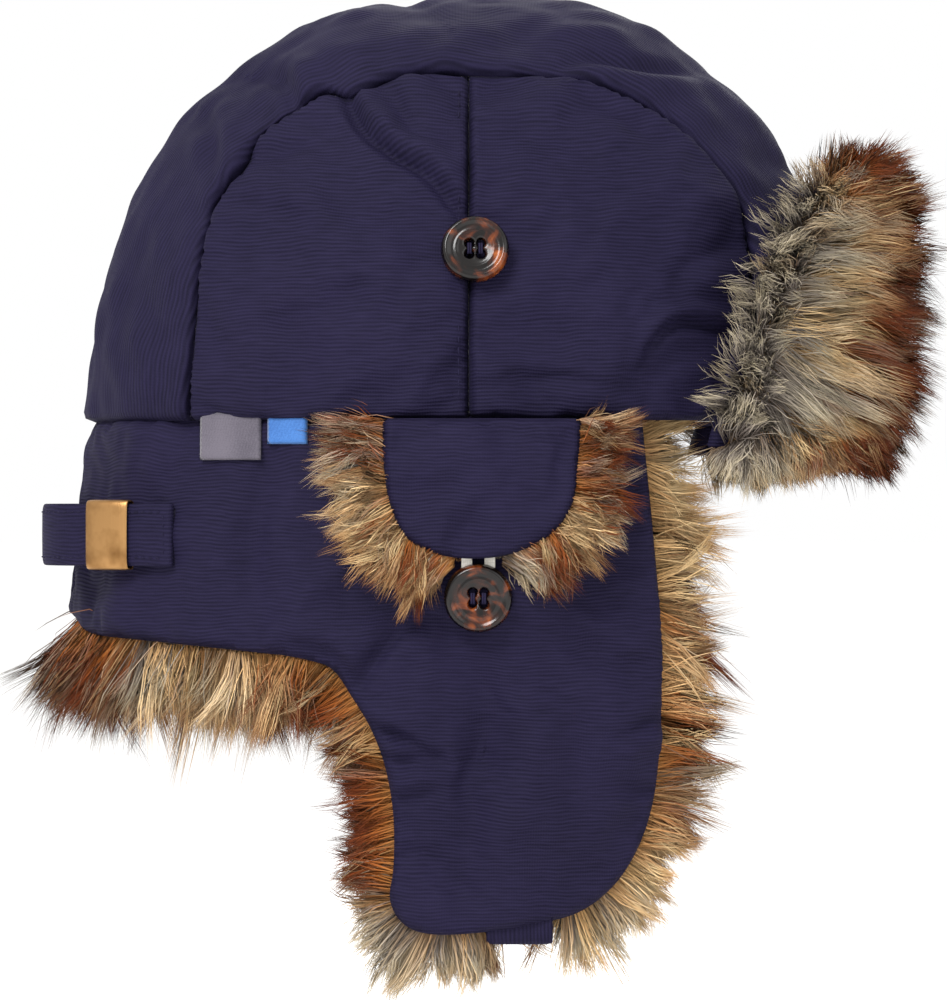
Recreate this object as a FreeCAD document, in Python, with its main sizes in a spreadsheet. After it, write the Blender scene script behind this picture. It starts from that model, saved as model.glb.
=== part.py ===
import FreeCAD, Part
import math
import os

import Sketcher
from FreeCAD import Placement, Rotation, Vector

# A trapper hat: a quilted crown, a neck and ear curtain with two hanging ear flaps, an ear hatch on each
# side, a fold-up visor and a fur lining. Millimetres. +X is the front, +Y the wearer's left and +Z up.
# The origin is the centre of the head opening, at the crown's lower edge.

DIMENSIONS = (
    ("crown_half_length", 121.5, "outside of the crown at its lower edge, half of front to back"),
    ("crown_half_width", 90.0, "outside of the crown at its lower edge, half of side to side"),
    ("crown_height", 137.0, "outside of the crown above its lower edge"),
    ("cloth", 1.5, "outer cloth and its backing"),
    ("wadding", 7.8, "quilted wadding under the cloth"),
    ("lining", 1.0, "lining of the crown"),
    ("sweatband", 1.5, "sweatband's thickness"),
    ("sweatband_height", 30.0, "sweatband's height"),
    ("sewn_gap", 0.2, "between layers that are sewn together"),
    ("seam_gap", 0.3, "between panels that meet at a seam"),
    ("band_half_width", 50.0, "centre band of the crown, half of its width"),
    ("side_seam_x", 2.5, "seam between the rear and front side panels"),
    ("curtain_top", -0.4, "top edge of the curtain"),
    ("curtain_half_length", 123.0, "outside of the curtain at its top"),
    ("curtain_half_width", 88.0, "outside of the curtain at its top"),
    ("hem_z", -75.5, "curtain's hem at the back"),
    ("hem_half_length", 131.0, "outside of the curtain at its hem"),
    ("hem_half_width", 93.7, "outside of the curtain at its hem"),
    ("fur_hem_z", -85.0, "lower edge of the curtain's fur at the back"),
    ("fur_hem_x", -54.0, "where the curtain's fur rises to make room for the ear flap"),
    ("fur_flare", 1.0, "how far the curtain's fur flares past the cloth hem"),
    ("shell", 5.0, "padded cloth of the curtain and the ear flaps"),
    ("pile_gap", 0.3, "between a shell and its fur"),
    ("pile", 12.0, "fur of the curtain and the ear flaps"),
    ("front_edge_x", 63.5, "front edge of the curtain and the ear flaps"),
    ("window_x", 4.0, "middle of the ear window"),
    ("window_z", -28.0, "middle of the ear window"),
    ("window_length", 46.0, "ear window, front to back"),
    ("window_height", 28.0, "ear window"),
    ("flap_top", -81.0, "top of the ear flap's shell"),
    ("flap_fur_top", -84.0, "top of the ear flap's fur"),
    ("flap_tip", -164.0, "lowest edge of the ear flap's shell"),
    ("tip_half_length", 127.0, "wall of the ear flap at its tip"),
    ("tip_half_width", 90.5, "wall of the ear flap at its tip"),
    ("flap_rear_x", -42.5, "rear corner of the ear flap, at the hem"),
    ("flap_waist_x", -23.5, "rear edge of the ear flap, near its tip"),
    ("flap_waist_z", -122.0, "where the ear flap's rear edge turns straight down"),
    ("flap_rear_sag", 1.5, "how deep the ear flap's rear edge is hollowed"),
    ("flap_rear_corner", 14.0, "rear lower corner of the ear flap"),
    ("flap_front_corner", 34.0, "front lower corner of the ear flap"),
    ("fur_edge", 8.0, "how far the fur stands past the edges of the curtain and the flap"),
    ("strap_notch", 26.0, "parting in the flap's fur for the chin strap"),
    ("strap_notch_drop", 0.4, "top of that parting, below the tip of the shell"),
    ("chin_strap_x", 17.5, "middle of the chin strap"),
    ("chin_strap_width", 21.0, "chin strap"),
    ("chin_strap_length", 78.0, "free part of the chin strap"),
    ("chin_strap_thickness", 2.0, "chin strap"),
    ("chin_strap_y", 69.4, "chin strap's inner face, from the middle plane"),
    ("strap_root_inset", 2.5, "outer end of the chin strap's root, inside the flap's wall"),
    ("strap_root_gap", 0.6, "between the chin strap's root and the flap's tip, and the free part"),
    ("patch_inset", 4.0, "from the chin strap's end to its patch"),
    ("patch_gap", 0.1, "between the chin strap and its patch"),
    ("patch_length", 32.0, "hook-and-loop patch on a chin strap"),
    ("patch_width", 16.0, "hook-and-loop patches"),
    ("strap_patch_length", 12.0, "hook-and-loop patch under the adjuster strap's free end"),
    ("patch_thickness", 1.4, "hook-and-loop patches"),
    ("hatch_half_length", 178.0, "curve of the ear hatch: it is flatter than the curtain's"),
    ("hatch_top", -1.6, "top edge of the ear hatch"),
    ("hatch_tip", -45.0, "hem of the ear hatch's shell"),
    ("hatch_fur_tip", -64.0, "lowest edge of the ear hatch's fur"),
    ("hatch_fur", 6.8, "thickness of the ear hatch's fur"),
    ("hatch_shell", 3.4, "thickness of the ear hatch's shell"),
    ("hatch_gap", 0.7, "between the curtain and the ear hatch"),
    ("hatch_x", 6.0, "middle of the ear hatch's shell"),
    ("hatch_width", 62.0, "ear hatch's shell"),
    ("hatch_fur_x", 3.0, "middle of the ear hatch's fur"),
    ("hatch_fur_width", 100.0, "ear hatch's fur"),
    ("hatch_notch", 27.0, "parting in the hatch's fur for the button"),
    ("hatch_corner", 26.0, "lower corners of the ear hatch's shell"),
    ("hatch_fur_corner", 34.0, "lower corners of the ear hatch's fur"),
    ("parting_top", -41.2, "top of the parting in the hatch's fur, just above the elastic loop"),
    ("loop_width", 9.6, "elastic loop, overall"),
    ("loop_cord", 3.0, "elastic tape of the loop"),
    ("loop_length", 20.0, "elastic loop, overall"),
    ("loop_thickness", 1.0, "elastic tape of the loop"),
    ("loop_stand", 1.6, "elastic loop's middle, outwards from the button's seat"),
    ("loop_slack", 0.3, "between the loop and the button's shank"),
    ("loop_tilt", -6.0, "how far the elastic loop faces upwards, degrees"),
    ("button_radius", 10.8, "34 ligne button"),
    ("button_height", 4.4, "button's thickness at its rim"),
    ("button_floor", 2.9, "button's thickness inside its rim"),
    ("button_rim", 2.4, "width of the button's raised rim"),
    ("button_roll", 0.9, "slope at the edges of the button's rim"),
    ("button_hole", 1.3, "radius of a button hole"),
    ("button_hole_ring", 2.5, "button holes, from the button's centre"),
    ("thread_radius", 1.4, "thread shank under a button"),
    ("thread_height", 3.2, "thread shank under a button"),
    ("crown_button_x", 3.5, "crown button"),
    ("crown_button_y", 84.4, "crown button's seat, from the middle plane"),
    ("crown_button_z", 50.7, "crown button"),
    ("crown_button_tilt", 14.0, "how far the crown button faces upwards, degrees"),
    ("hatch_button_x", 4.5, "hatch button"),
    ("hatch_button_y", 92.9, "hatch button's seat, from the middle plane"),
    ("hatch_button_z", -57.0, "hatch button"),
    ("hatch_button_tilt", -5.0, "how far the hatch button faces upwards, degrees"),
    ("strap_height", 20.0, "adjuster strap, and its height on the curtain"),
    ("strap_z", -48.0, "lower edge of the adjuster strap"),
    ("strap_thickness", 1.8, "adjuster strap, folded double"),
    ("strap_end_x", -93.5, "free end of the adjuster strap"),
    ("strap_end_y", 67.5, "free end of the adjuster strap, from the middle plane"),
    ("strap_turn_x", -123.0, "where the adjuster strap starts to turn across the back"),
    ("strap_turn_y", 50.0, "where the adjuster strap starts to turn across the back"),
    ("strap_back_x", -137.5, "outside of the adjuster strap across the back"),
    ("keeper_length", 16.0, "brass keeper along the strap"),
    ("keeper_height", 22.6, "brass keeper"),
    ("keeper_depth", 5.2, "brass keeper across the strap"),
    ("keeper_wall", 0.9, "brass keeper's sheet"),
    ("keeper_run", 24.0, "brass keeper's middle, from the strap's free end"),
    ("keeper_round", 0.8, "radius of the brass keeper's long corners"),
    ("label_offset", 0.5, "between the curtain and a woven tab"),
    ("label_thickness", 1.2, "woven tab, folded double"),
    ("label_top", -1.0, "top edge of both woven tabs"),
    ("grey_tab_rear", -84.5, "rear edge of the grey tab"),
    ("grey_tab_front", -64.5, "front edge of the grey tab"),
    ("grey_tab_foot", -14.0, "lower edge of the grey tab"),
    ("blue_tab_rear", -62.5, "rear edge of the blue tab"),
    ("blue_tab_front", -49.5, "front edge of the blue tab"),
    ("blue_tab_foot", -9.0, "lower edge of the blue tab"),
    ("visor_inner", 4.0, "from the crown's lower edge to the visor"),
    ("visor_lean", 3.5, "how much further out the visor stands at its top"),
    ("visor_shell", 4.0, "visor's cloth side with its wadding"),
    ("visor_pile", 22.0, "visor's fur side"),
    ("visor_foot", -10.0, "visor's lower edge"),
    ("visor_head", 92.0, "visor's top edge"),
    ("visor_side_x", 77.5, "visor's rear corner at its foot"),
    ("visor_shoulder_x", 120.0, "visor's rear corner at its top"),
    ("visor_bow", 0.32, "share of the visor's rear edge that lies forward of its foot at half height"),
    ("reach", 190.0, "how far the cutting tools run past the hat"),
)

SIDES = (("right", -1), ("left", 1))

doc = FreeCAD.newDocument("trapper_hat")
sizes = doc.addObject("Spreadsheet::Sheet", "sizes")
for row, (alias, number, meaning) in enumerate(DIMENSIONS, start=1):
    sizes.set(f"A{row}", meaning)
    sizes.set(f"B{row}", str(number))
    sizes.setAlias(f"B{row}", alias)
doc.recompute()

sub_parts = []


def size(alias):
    """The number that the sheet holds under an alias."""
    return float(getattr(sizes, alias))


def bind(thing, expressions):
    """Binds properties of a document object to expressions over the sheet."""
    for path, expression in expressions.items():
        thing.setExpression(path, expression)


def keep(thing, label):
    """Names a finished sub-part: its label is its node and its file."""
    thing.Label = label
    sub_parts.append(thing)
    return thing


# ---------------------------------------------------------------- solids that several sub-parts are cut from


def combine(kind, name, base, tool):
    """A Part::Cut, Part::Common or Part::Fuse of two objects."""
    result = doc.addObject(f"Part::{kind}", name)
    result.Base = base
    result.Tool = tool
    return result


def block(name, x, y, z):
    """A box between pairs of expressions along X, Y and Z."""
    box = doc.addObject("Part::Box", name)
    edges = {"Length": x, "Width": y, "Height": z}
    for (edge, (low, high)), axis in zip(edges.items(), "xyz"):
        bind(box, {edge: f"({high}) - ({low})", f"Placement.Base.{axis}": low})
    return box


def side_span(sign, near, far):
    """The pair of Y expressions for a span that runs from near to far on one side of the hat."""
    span = (f"{sign} * ({near})", f"{sign} * ({far})")
    return span if sign > 0 else span[::-1]


def half_ellipsoid(name, depth):
    """The upper half of an ellipsoid that lies a depth inside the crown's outer face."""
    dome = doc.addObject("Part::Ellipsoid", name)
    dome.Angle1 = 0
    bind(
        dome,
        {
            "Radius1": f"sizes.crown_height - ({depth})",
            "Radius2": f"sizes.crown_half_length - ({depth})",
            "Radius3": f"sizes.crown_half_width - ({depth})",
        },
    )
    return dome


def dome_layer(name, outer_depth, thickness):
    """One layer of the crown, from a depth inwards."""
    outside = half_ellipsoid(f"{name}_outside", outer_depth)
    inside = half_ellipsoid(f"{name}_inside", f"{outer_depth} + {thickness}")
    return combine("Cut", name, outside, inside)


def frustum(name, top, bottom):
    """A solid between two level ellipses, each given as (z, half length, half width)."""
    sections = []
    for end, (level, half_length, half_width) in (("top", top), ("bottom", bottom)):
        outline = doc.addObject("Part::Ellipse", f"{name}_{end}")
        bind(
            outline,
            {
                "MajorRadius": half_length,
                "MinorRadius": half_width,
                "Placement.Base.z": level,
            },
        )
        sections.append(outline)
    solid = doc.addObject("Part::Loft", name)
    solid.Sections = sections
    solid.Solid = True
    solid.Ruled = True
    return solid


def wall_layer(name, top, bottom, outer_depth, thickness):
    """A ring-shaped layer of a wall: the wall's outer ellipses moved inwards by a depth and a thickness."""
    surfaces = []
    for face, depth in (("outside", outer_depth), ("inside", f"{outer_depth} + {thickness}")):
        ends = [(z, f"{length} - ({depth})", f"{width} - ({depth})") for z, length, width in (top, bottom)]
        surfaces.append(frustum(f"{name}_{face}", *ends))
    return combine("Cut", name, *surfaces)


def side_prism(name, sign, edges):
    """A prism through one side of the hat (sign -1 or 1) or both (0) whose XZ outline is made of edges."""
    outline = doc.addObject("Sketcher::SketchObject", f"{name}_outline")
    outline.Placement = Placement(Vector(0, 0, 0), Rotation(Vector(1, 0, 0), 90))
    for edge in edges:
        outline.addGeometry(edge, False)
    prism = doc.addObject("Part::Extrusion", name)
    prism.Base = outline
    prism.DirMode = "Custom"
    prism.Dir = Vector(0, sign or 1, 0)
    prism.Symmetric = sign == 0
    prism.Solid = True
    bind(prism, {"LengthFwd": "sizes.reach"})
    return prism


def flat(x, y):
    """A point in a sketch's own plane."""
    return Vector(x, y, 0)


def line(start, end):
    """A straight edge of a sketch."""
    return Part.LineSegment(flat(*start), flat(*end))


def bow(start, middle, end):
    """A round edge of a sketch through three points."""
    return Part.Arc(flat(*start), flat(*middle), flat(*end))


# ---------------------------------------------------------------- crown


CLOTH_IN = "sizes.cloth + sizes.sewn_gap"
LINING_IN = f"{CLOTH_IN} + sizes.wadding + sizes.sewn_gap"
BAND_IN = f"{LINING_IN} + sizes.lining + sizes.sewn_gap"
FULL = ("-sizes.reach", "sizes.reach")


def build_crown():
    """The crown's five cloth panels, its wadding and lining, and the sweatband."""
    cloth = dome_layer("crown_cloth", "0", "sizes.cloth")
    band_space = block("band_space", FULL, ("-sizes.band_half_width", "sizes.band_half_width"), FULL)
    keep(combine("Common", "centre_band", cloth, band_space), "crown_centre_band")
    runs = {
        "rear": ("-sizes.reach", "sizes.side_seam_x - sizes.seam_gap / 2"),
        "front": ("sizes.side_seam_x + sizes.seam_gap / 2", "sizes.reach"),
    }
    for side, sign in SIDES:
        for place, run in runs.items():
            across = side_span(sign, "sizes.band_half_width + sizes.seam_gap", "sizes.reach")
            space = block(f"{place}_space_{side}", run, across, FULL)
            panel = combine("Common", f"panel_{place}_{side}", cloth, space)
            keep(panel, f"crown_side_{place}_{side}")
    keep(dome_layer("wadding_layer", CLOTH_IN, "sizes.wadding"), "crown_wadding")
    keep(dome_layer("lining_layer", LINING_IN, "sizes.lining"), "crown_lining")
    band = dome_layer("band_layer", BAND_IN, "sizes.sweatband")
    slice_space = block("sweatband_space", FULL, FULL, ("0", "sizes.sweatband_height"))
    keep(combine("Common", "sweatband_ring", band, slice_space), "sweatband")


# ---------------------------------------------------------------- curtain and ear flaps


CURTAIN_TOP = ("sizes.curtain_top", "sizes.curtain_half_length", "sizes.curtain_half_width")
CURTAIN_HEM = ("sizes.hem_z", "sizes.hem_half_length", "sizes.hem_half_width")
FUR_HEM = (
    "sizes.fur_hem_z",
    "sizes.hem_half_length + sizes.fur_flare",
    "sizes.hem_half_width + sizes.fur_flare",
)
FLAP_TIP = ("-sizes.reach", "sizes.tip_half_length", "sizes.tip_half_width")
PILE_IN = "sizes.shell + sizes.pile_gap"


def build_curtain():
    """The curtain's cloth shell and fur, each in two halves that meet at the centre back seam."""
    shell_ring = wall_layer("curtain_shell_ring", CURTAIN_TOP, CURTAIN_HEM, "0", "sizes.shell")
    fur_ring = wall_layer("curtain_fur_ring", CURTAIN_TOP, FUR_HEM, PILE_IN, "sizes.pile")
    layers = {
        "shell": (shell_ring, "sizes.front_edge_x", "sizes.reach"),
        "fur": (fur_ring, "sizes.front_edge_x + sizes.fur_edge", "sizes.fur_hem_x"),
    }
    for side, sign in SIDES:
        window = block(
            f"ear_window_{side}",
            (
                "sizes.window_x - sizes.window_length / 2",
                "sizes.window_x + sizes.window_length / 2",
            ),
            side_span(sign, "0", "sizes.reach"),
            (
                "sizes.window_z - sizes.window_height / 2",
                "sizes.window_z + sizes.window_height / 2",
            ),
        )
        across = side_span(sign, "sizes.seam_gap / 2", "sizes.reach")
        for layer, (ring, front, low_front) in layers.items():
            name = f"{layer}_{side}"
            half = block(f"half_{name}", ("-sizes.reach", front), across, ("-sizes.reach", "0"))
            open_half = combine("Cut", f"half_with_window_{name}", half, window)
            below = block(f"below_{name}", (low_front, "2 * sizes.reach"), FULL, ("-sizes.reach", "sizes.hem_z"))
            space = combine("Cut", f"space_{name}", open_half, below)
            keep(combine("Common", f"half_curtain_{name}", ring, space), f"curtain_{name}")


def flap_outline(top, grow):
    """An ear flap seen from its side: a concave rear edge, round corners, and grow added all round."""
    rear_x = size("flap_rear_x") - grow
    waist_x = size("flap_waist_x") - grow
    front_x = size("front_edge_x") + grow
    tip = size("flap_tip") - grow
    rear_corner = size("flap_rear_corner") + grow
    front_corner = size("flap_front_corner") + grow
    bend = 1 - math.sqrt(0.5)
    waist_z = size("flap_waist_z")
    hollow = ((rear_x + 2 * waist_x) / 3 - size("flap_rear_sag"), (top + waist_z) / 2)
    rear_low = tip + rear_corner
    front_low = tip + front_corner
    return (
        line((front_x, top), (rear_x, top)),
        bow((rear_x, top), hollow, (waist_x, waist_z)),
        line((waist_x, waist_z), (waist_x, rear_low)),
        bow(
            (waist_x, rear_low),
            (waist_x + bend * rear_corner, tip + bend * rear_corner),
            (waist_x + rear_corner, tip),
        ),
        line((waist_x + rear_corner, tip), (front_x - front_corner, tip)),
        bow(
            (front_x - front_corner, tip),
            (front_x - bend * front_corner, tip + bend * front_corner),
            (front_x, front_low),
        ),
        line((front_x, front_low), (front_x, top)),
    )


def build_ear_flaps():
    """The hanging ear flaps: a padded cloth shell each, and fur that is parted where the chin strap comes out."""
    shell_ring = wall_layer("flap_shell_ring", CURTAIN_HEM, FLAP_TIP, "0", "sizes.shell")
    fur_ring = wall_layer("flap_fur_ring", CURTAIN_HEM, FLAP_TIP, PILE_IN, "sizes.pile")
    for side, sign in SIDES:
        shell_prism = side_prism(f"flap_prism_{side}", sign, flap_outline(size("flap_top"), 0))
        keep(combine("Common", f"flap_shell_{side}", shell_ring, shell_prism), f"ear_flap_shell_{side}")
        fur_outline = flap_outline(size("flap_fur_top"), size("fur_edge"))
        fur_prism = side_prism(f"flap_fur_prism_{side}", sign, fur_outline)
        whole_fur = combine("Common", f"flap_fur_whole_{side}", fur_ring, fur_prism)
        notch = block(
            f"strap_notch_{side}",
            (
                "sizes.chin_strap_x - sizes.strap_notch / 2",
                "sizes.chin_strap_x + sizes.strap_notch / 2",
            ),
            FULL,
            ("-sizes.reach", "sizes.flap_tip - sizes.strap_notch_drop"),
        )
        keep(combine("Cut", f"flap_fur_{side}", whole_fur, notch), f"ear_flap_fur_{side}")


# ---------------------------------------------------------------- sketches in PartDesign bodies


def origin_feature(body, role):
    """One of a body's own origin planes or axes."""
    return next(feature for feature in body.Origin.OriginFeatures if feature.Role == role)


def attached_sketch(body, name, plane):
    """A new sketch on one of the body's own origin planes."""
    sketch = body.newObject("Sketcher::SketchObject", name)
    sketch.AttachmentSupport = [(origin_feature(body, plane), "")]
    sketch.MapMode = "FlatFace"
    return sketch


def draw_rectangle(sketch, width, height):
    """A rectangle round the sketch's origin whose half sizes are bound to two expressions."""
    first = sketch.GeometryCount
    half_width, half_height = 2.0, 1.0
    corners = (
        (-half_width, -half_height),
        (half_width, -half_height),
        (half_width, half_height),
        (-half_width, half_height),
    )
    for start, end in zip(corners, corners[1:] + corners[:1]):
        sketch.addGeometry(line(start, end), False)
    for step in range(4):
        ends = (first + step, 2, first + (step + 1) % 4, 1)
        sketch.addConstraint(constraint("Coincident", *ends))
    for step, direction in enumerate(("Horizontal", "Vertical", "Horizontal", "Vertical")):
        sketch.addConstraint(constraint(direction, first + step))
    measures = (
        ("DistanceX", -1, 1, first + 1, 1, half_width, f"({width}) / 2"),
        ("DistanceY", -1, 1, first + 2, 1, half_height, f"({height}) / 2"),
        ("DistanceX", first + 3, 1, -1, 1, half_width, f"({width}) / 2"),
        ("DistanceY", first, 1, -1, 1, half_height, f"({height}) / 2"),
    )
    for *geometry, expression in measures:
        index = sketch.addConstraint(constraint(*geometry))
        sketch.setExpression(f"Constraints[{index}]", expression)


def constraint(kind, *arguments):
    """A Sketcher constraint."""
    return Sketcher.Constraint(kind, *arguments)


def pad(body, sketch, length):
    """Pads a sketch by an expression."""
    feature = body.newObject("PartDesign::Pad", f"{body.Name}_pad")
    feature.Profile = sketch
    bind(feature, {"Length": length})
    return feature


def plate(name, label, width, height, thickness, placement):
    """A flat rectangular piece, centred on its placement and rising along the placement's Z axis."""
    body = doc.addObject("PartDesign::Body", name)
    sketch = attached_sketch(body, f"{name}_outline", "XY_Plane")
    draw_rectangle(sketch, width, height)
    pad(body, sketch, thickness)
    body.Placement = placement
    return keep(body, label)


def facing(sign, tilt=0.0, turn=0.0):
    """The turn that points a piece's Z axis outwards to one side, tilted up by degrees, its Y axis upwards."""
    lift = math.radians(tilt)
    swing = math.radians(turn)
    out = Vector(math.sin(swing), sign * math.cos(swing) * math.cos(lift), math.sin(lift))
    up = Vector(0, 0, 1)
    return Rotation(up.cross(out), up, out, "ZYX")


# ---------------------------------------------------------------- buttons


def build_button(name, label, placement):
    """A four-hole button: a dished disc with a raised rim, turned about its axis."""
    body = doc.addObject("PartDesign::Body", name)
    profile = attached_sketch(body, f"{name}_profile", "XZ_Plane")
    radius = size("button_radius")
    height = size("button_height")
    floor = size("button_floor")
    rim = size("button_rim")
    roll = size("button_roll")
    points = (
        (0.0, 0.0),
        (radius - 2 * roll, 0.0),
        (radius, 2 * roll),
        (radius, height - roll),
        (radius - roll, height),
        (radius - rim, height),
        (radius - rim - roll, floor),
        (0.0, floor),
    )
    for start, end in zip(points, points[1:] + points[:1]):
        profile.addGeometry(line(start, end), False)
    turned = body.newObject("PartDesign::Revolution", f"{name}_turned")
    turned.Profile = profile
    turned.ReferenceAxis = (profile, ["V_Axis"])
    turned.Angle = 360
    doc.recompute()
    hole = attached_sketch(body, f"{name}_hole", "XY_Plane")
    index = hole.addGeometry(Part.Circle(flat(size("button_hole_ring"), 0), Vector(0, 0, 1), 1.0), False)
    measures = (
        (("Radius", index, size("button_hole")), "sizes.button_hole"),
        (("DistanceX", -1, 1, index, 3, size("button_hole_ring")), "sizes.button_hole_ring"),
    )
    for arguments, expression in measures:
        hole.setExpression(f"Constraints[{hole.addConstraint(constraint(*arguments))}]", expression)
    hole.addConstraint(constraint("PointOnObject", index, 3, -1))
    drilled = body.newObject("PartDesign::Pocket", f"{name}_drilled")
    drilled.Profile = hole
    drilled.Reversed = True
    bind(drilled, {"Length": "sizes.button_height * 2"})
    holes = body.newObject("PartDesign::PolarPattern", f"{name}_holes")
    holes.Originals = [drilled]
    holes.Axis = (origin_feature(body, "Z_Axis"), [""])
    holes.Angle = 360
    holes.Occurrences = 4
    body.Tip = holes
    doc.recompute()
    if holes.Shape.Volume > turned.Shape.Volume - 4 * math.pi * size("button_hole") ** 2 * floor * 0.9:
        raise RuntimeError(f"{label}: its holes cut nothing")
    body.Placement = placement
    return keep(body, label)


def build_thread(name, label, placement):
    """The thread shank that a button stands on."""
    body = doc.addObject("PartDesign::Body", name)
    sketch = attached_sketch(body, f"{name}_outline", "XY_Plane")
    index = sketch.addGeometry(Part.Circle(flat(0, 0), Vector(0, 0, 1), 1.0), False)
    sketch.addConstraint(constraint("Coincident", index, 3, -1, 1))
    radius = sketch.addConstraint(constraint("Radius", index, size("thread_radius")))
    sketch.setExpression(f"Constraints[{radius}]", "sizes.thread_radius")
    pad(body, sketch, "sizes.thread_height")
    body.Placement = placement
    return keep(body, label)


def build_buttons():
    """The crown button and the hatch button of each side, with their thread shanks."""
    for side, sign in SIDES:
        for place in ("crown", "hatch"):
            seat = Vector(*(size(f"{place}_button_{axis}") for axis in "xyz"))
            seat.y *= sign
            turn = facing(sign, size(f"{place}_button_tilt"))
            top = seat + turn.multVec(Vector(0, 0, size("thread_height") + size("sewn_gap") / 2))
            shank = seat + turn.multVec(Vector(0, 0, -size("sewn_gap") / 2))
            build_thread(f"{place}_thread_{side}", f"{place}_button_thread_{side}", Placement(shank, turn))
            build_button(f"{place}_disc_{side}", f"{place}_button_{side}", Placement(top, turn))


# ---------------------------------------------------------------- ear hatches


def hatch_outline(middle, width, top, tip, corner):
    """A U: straight sides and two round lower corners."""
    low_x = middle - width / 2
    high_x = middle + width / 2
    bend = 1 - math.sqrt(0.5)
    return (
        line((high_x, top), (low_x, top)),
        line((low_x, top), (low_x, tip + corner)),
        bow(
            (low_x, tip + corner),
            (low_x + bend * corner, tip + bend * corner),
            (low_x + corner, tip),
        ),
        line((low_x + corner, tip), (high_x - corner, tip)),
        bow(
            (high_x - corner, tip),
            (high_x - bend * corner, tip + bend * corner),
            (high_x, tip + corner),
        ),
        line((high_x, tip + corner), (high_x, top)),
    )


def hatch_layer(name, outer_stand, thickness):
    """A flatter wall outside the curtain, for a layer of the hatch, from its outer face inwards."""
    top = ("0", "sizes.hatch_half_length", f"sizes.curtain_half_width + ({outer_stand})")
    hem = ("sizes.hem_z", "sizes.hatch_half_length", f"sizes.hem_half_width + ({outer_stand})")
    return wall_layer(name, top, hem, "0", thickness)


def build_ear_hatches():
    """The ear hatches: a small cloth flap, its fur with a parting for the button, and an elastic loop."""
    fur_stand = "sizes.hatch_gap + sizes.hatch_fur"
    shell_stand = f"{fur_stand} + sizes.pile_gap + sizes.hatch_shell"
    fur_ring = hatch_layer("hatch_fur_ring", fur_stand, "sizes.hatch_fur")
    shell_ring = hatch_layer("hatch_shell_ring", shell_stand, "sizes.hatch_shell")
    shell_sizes = ("hatch_x", "hatch_width", "hatch_top", "hatch_tip", "hatch_corner")
    fur_sizes = ("hatch_fur_x", "hatch_fur_width", "hatch_top", "hatch_fur_tip", "hatch_fur_corner")
    for side, sign in SIDES:
        shell_prism = side_prism(f"hatch_prism_{side}", sign, hatch_outline(*map(size, shell_sizes)))
        keep(combine("Common", f"hatch_shell_{side}", shell_ring, shell_prism), f"ear_hatch_shell_{side}")
        fur_prism = side_prism(f"hatch_fur_prism_{side}", sign, hatch_outline(*map(size, fur_sizes)))
        whole_fur = combine("Common", f"hatch_fur_whole_{side}", fur_ring, fur_prism)
        parting = block(
            f"button_parting_{side}",
            (
                "sizes.hatch_button_x - sizes.hatch_notch / 2",
                "sizes.hatch_button_x + sizes.hatch_notch / 2",
            ),
            FULL,
            ("-sizes.reach", "sizes.parting_top"),
        )
        keep(combine("Cut", f"hatch_fur_{side}", whole_fur, parting), f"ear_hatch_fur_{side}")
        build_loop(side, sign)


def build_loop(side, sign):
    """The elastic loop from the hatch's hem to the shank of its button, a flat ring with round ends."""
    body = doc.addObject("PartDesign::Body", f"loop_{side}")
    sketch = attached_sketch(body, f"loop_outline_{side}", "XY_Plane")
    outer = size("loop_width") / 2
    inner = outer - size("loop_cord")
    rise = size("loop_length") / 2 - outer
    for radius in (outer, inner):
        sketch.addGeometry(line((-radius, -rise), (-radius, rise)), False)
        sketch.addGeometry(bow((-radius, rise), (0, rise + radius), (radius, rise)), False)
        sketch.addGeometry(line((radius, rise), (radius, -rise)), False)
        sketch.addGeometry(bow((radius, -rise), (0, -rise - radius), (-radius, -rise)), False)
    pad(body, sketch, "sizes.loop_thickness")
    stand = size("hatch_button_y") + size("loop_stand")
    shank_foot = size("hatch_button_z") - size("thread_radius") - size("loop_slack")
    middle_z = shank_foot + size("loop_length") / 2 - size("loop_cord")
    body.Placement = Placement(
        Vector(size("hatch_button_x"), sign * stand, middle_z),
        facing(sign, size("loop_tilt")),
    )
    keep(body, f"elastic_loop_{side}")


# ---------------------------------------------------------------- visor


def build_visor():
    """The visor: a padded cloth shell that stands in front of the crown, with fur on its outer side."""

    def level(z, lean):
        stand = f"sizes.visor_inner + sizes.visor_shell + {lean}"
        return (z, f"sizes.crown_half_length + {stand}", f"sizes.crown_half_width + {stand}")

    low = level("sizes.visor_foot", "0")
    high = level("sizes.visor_head", "sizes.visor_lean")
    shell_ring = wall_layer("visor_shell_ring", high, low, "0", "sizes.visor_shell")
    fur_ring = wall_layer("visor_fur_ring", high, low, "-sizes.pile_gap - sizes.visor_pile", "sizes.visor_pile")
    foot, head = size("visor_foot"), size("visor_head")
    side_x, shoulder_x, reach = size("visor_side_x"), size("visor_shoulder_x"), size("reach")
    middle = (side_x + (shoulder_x - side_x) * size("visor_bow"), (foot + head) / 2)
    outline = (
        line((reach, foot), (side_x, foot)),
        bow((side_x, foot), middle, (shoulder_x, head)),
        line((shoulder_x, head), (reach, head)),
        line((reach, head), (reach, foot)),
    )
    prism = side_prism("visor_prism", 0, outline)
    keep(combine("Common", "visor_cloth", shell_ring, prism), "visor_shell")
    keep(combine("Common", "visor_pile", fur_ring, prism), "visor_fur")


# ---------------------------------------------------------------- adjuster strap, keeper, patches and tabs


def strap_run():
    """The strap's near run in plan: its start, its unit direction, and its unit normal away from the hat."""
    start = Vector(size("strap_end_x"), -size("strap_end_y"), 0)
    turn = Vector(size("strap_turn_x"), -size("strap_turn_y"), 0)
    along = (turn - start).normalize()
    outward = Vector(-along.y, along.x, 0)
    if outward.y > 0:
        outward = outward * -1
    return start, along, outward


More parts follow.
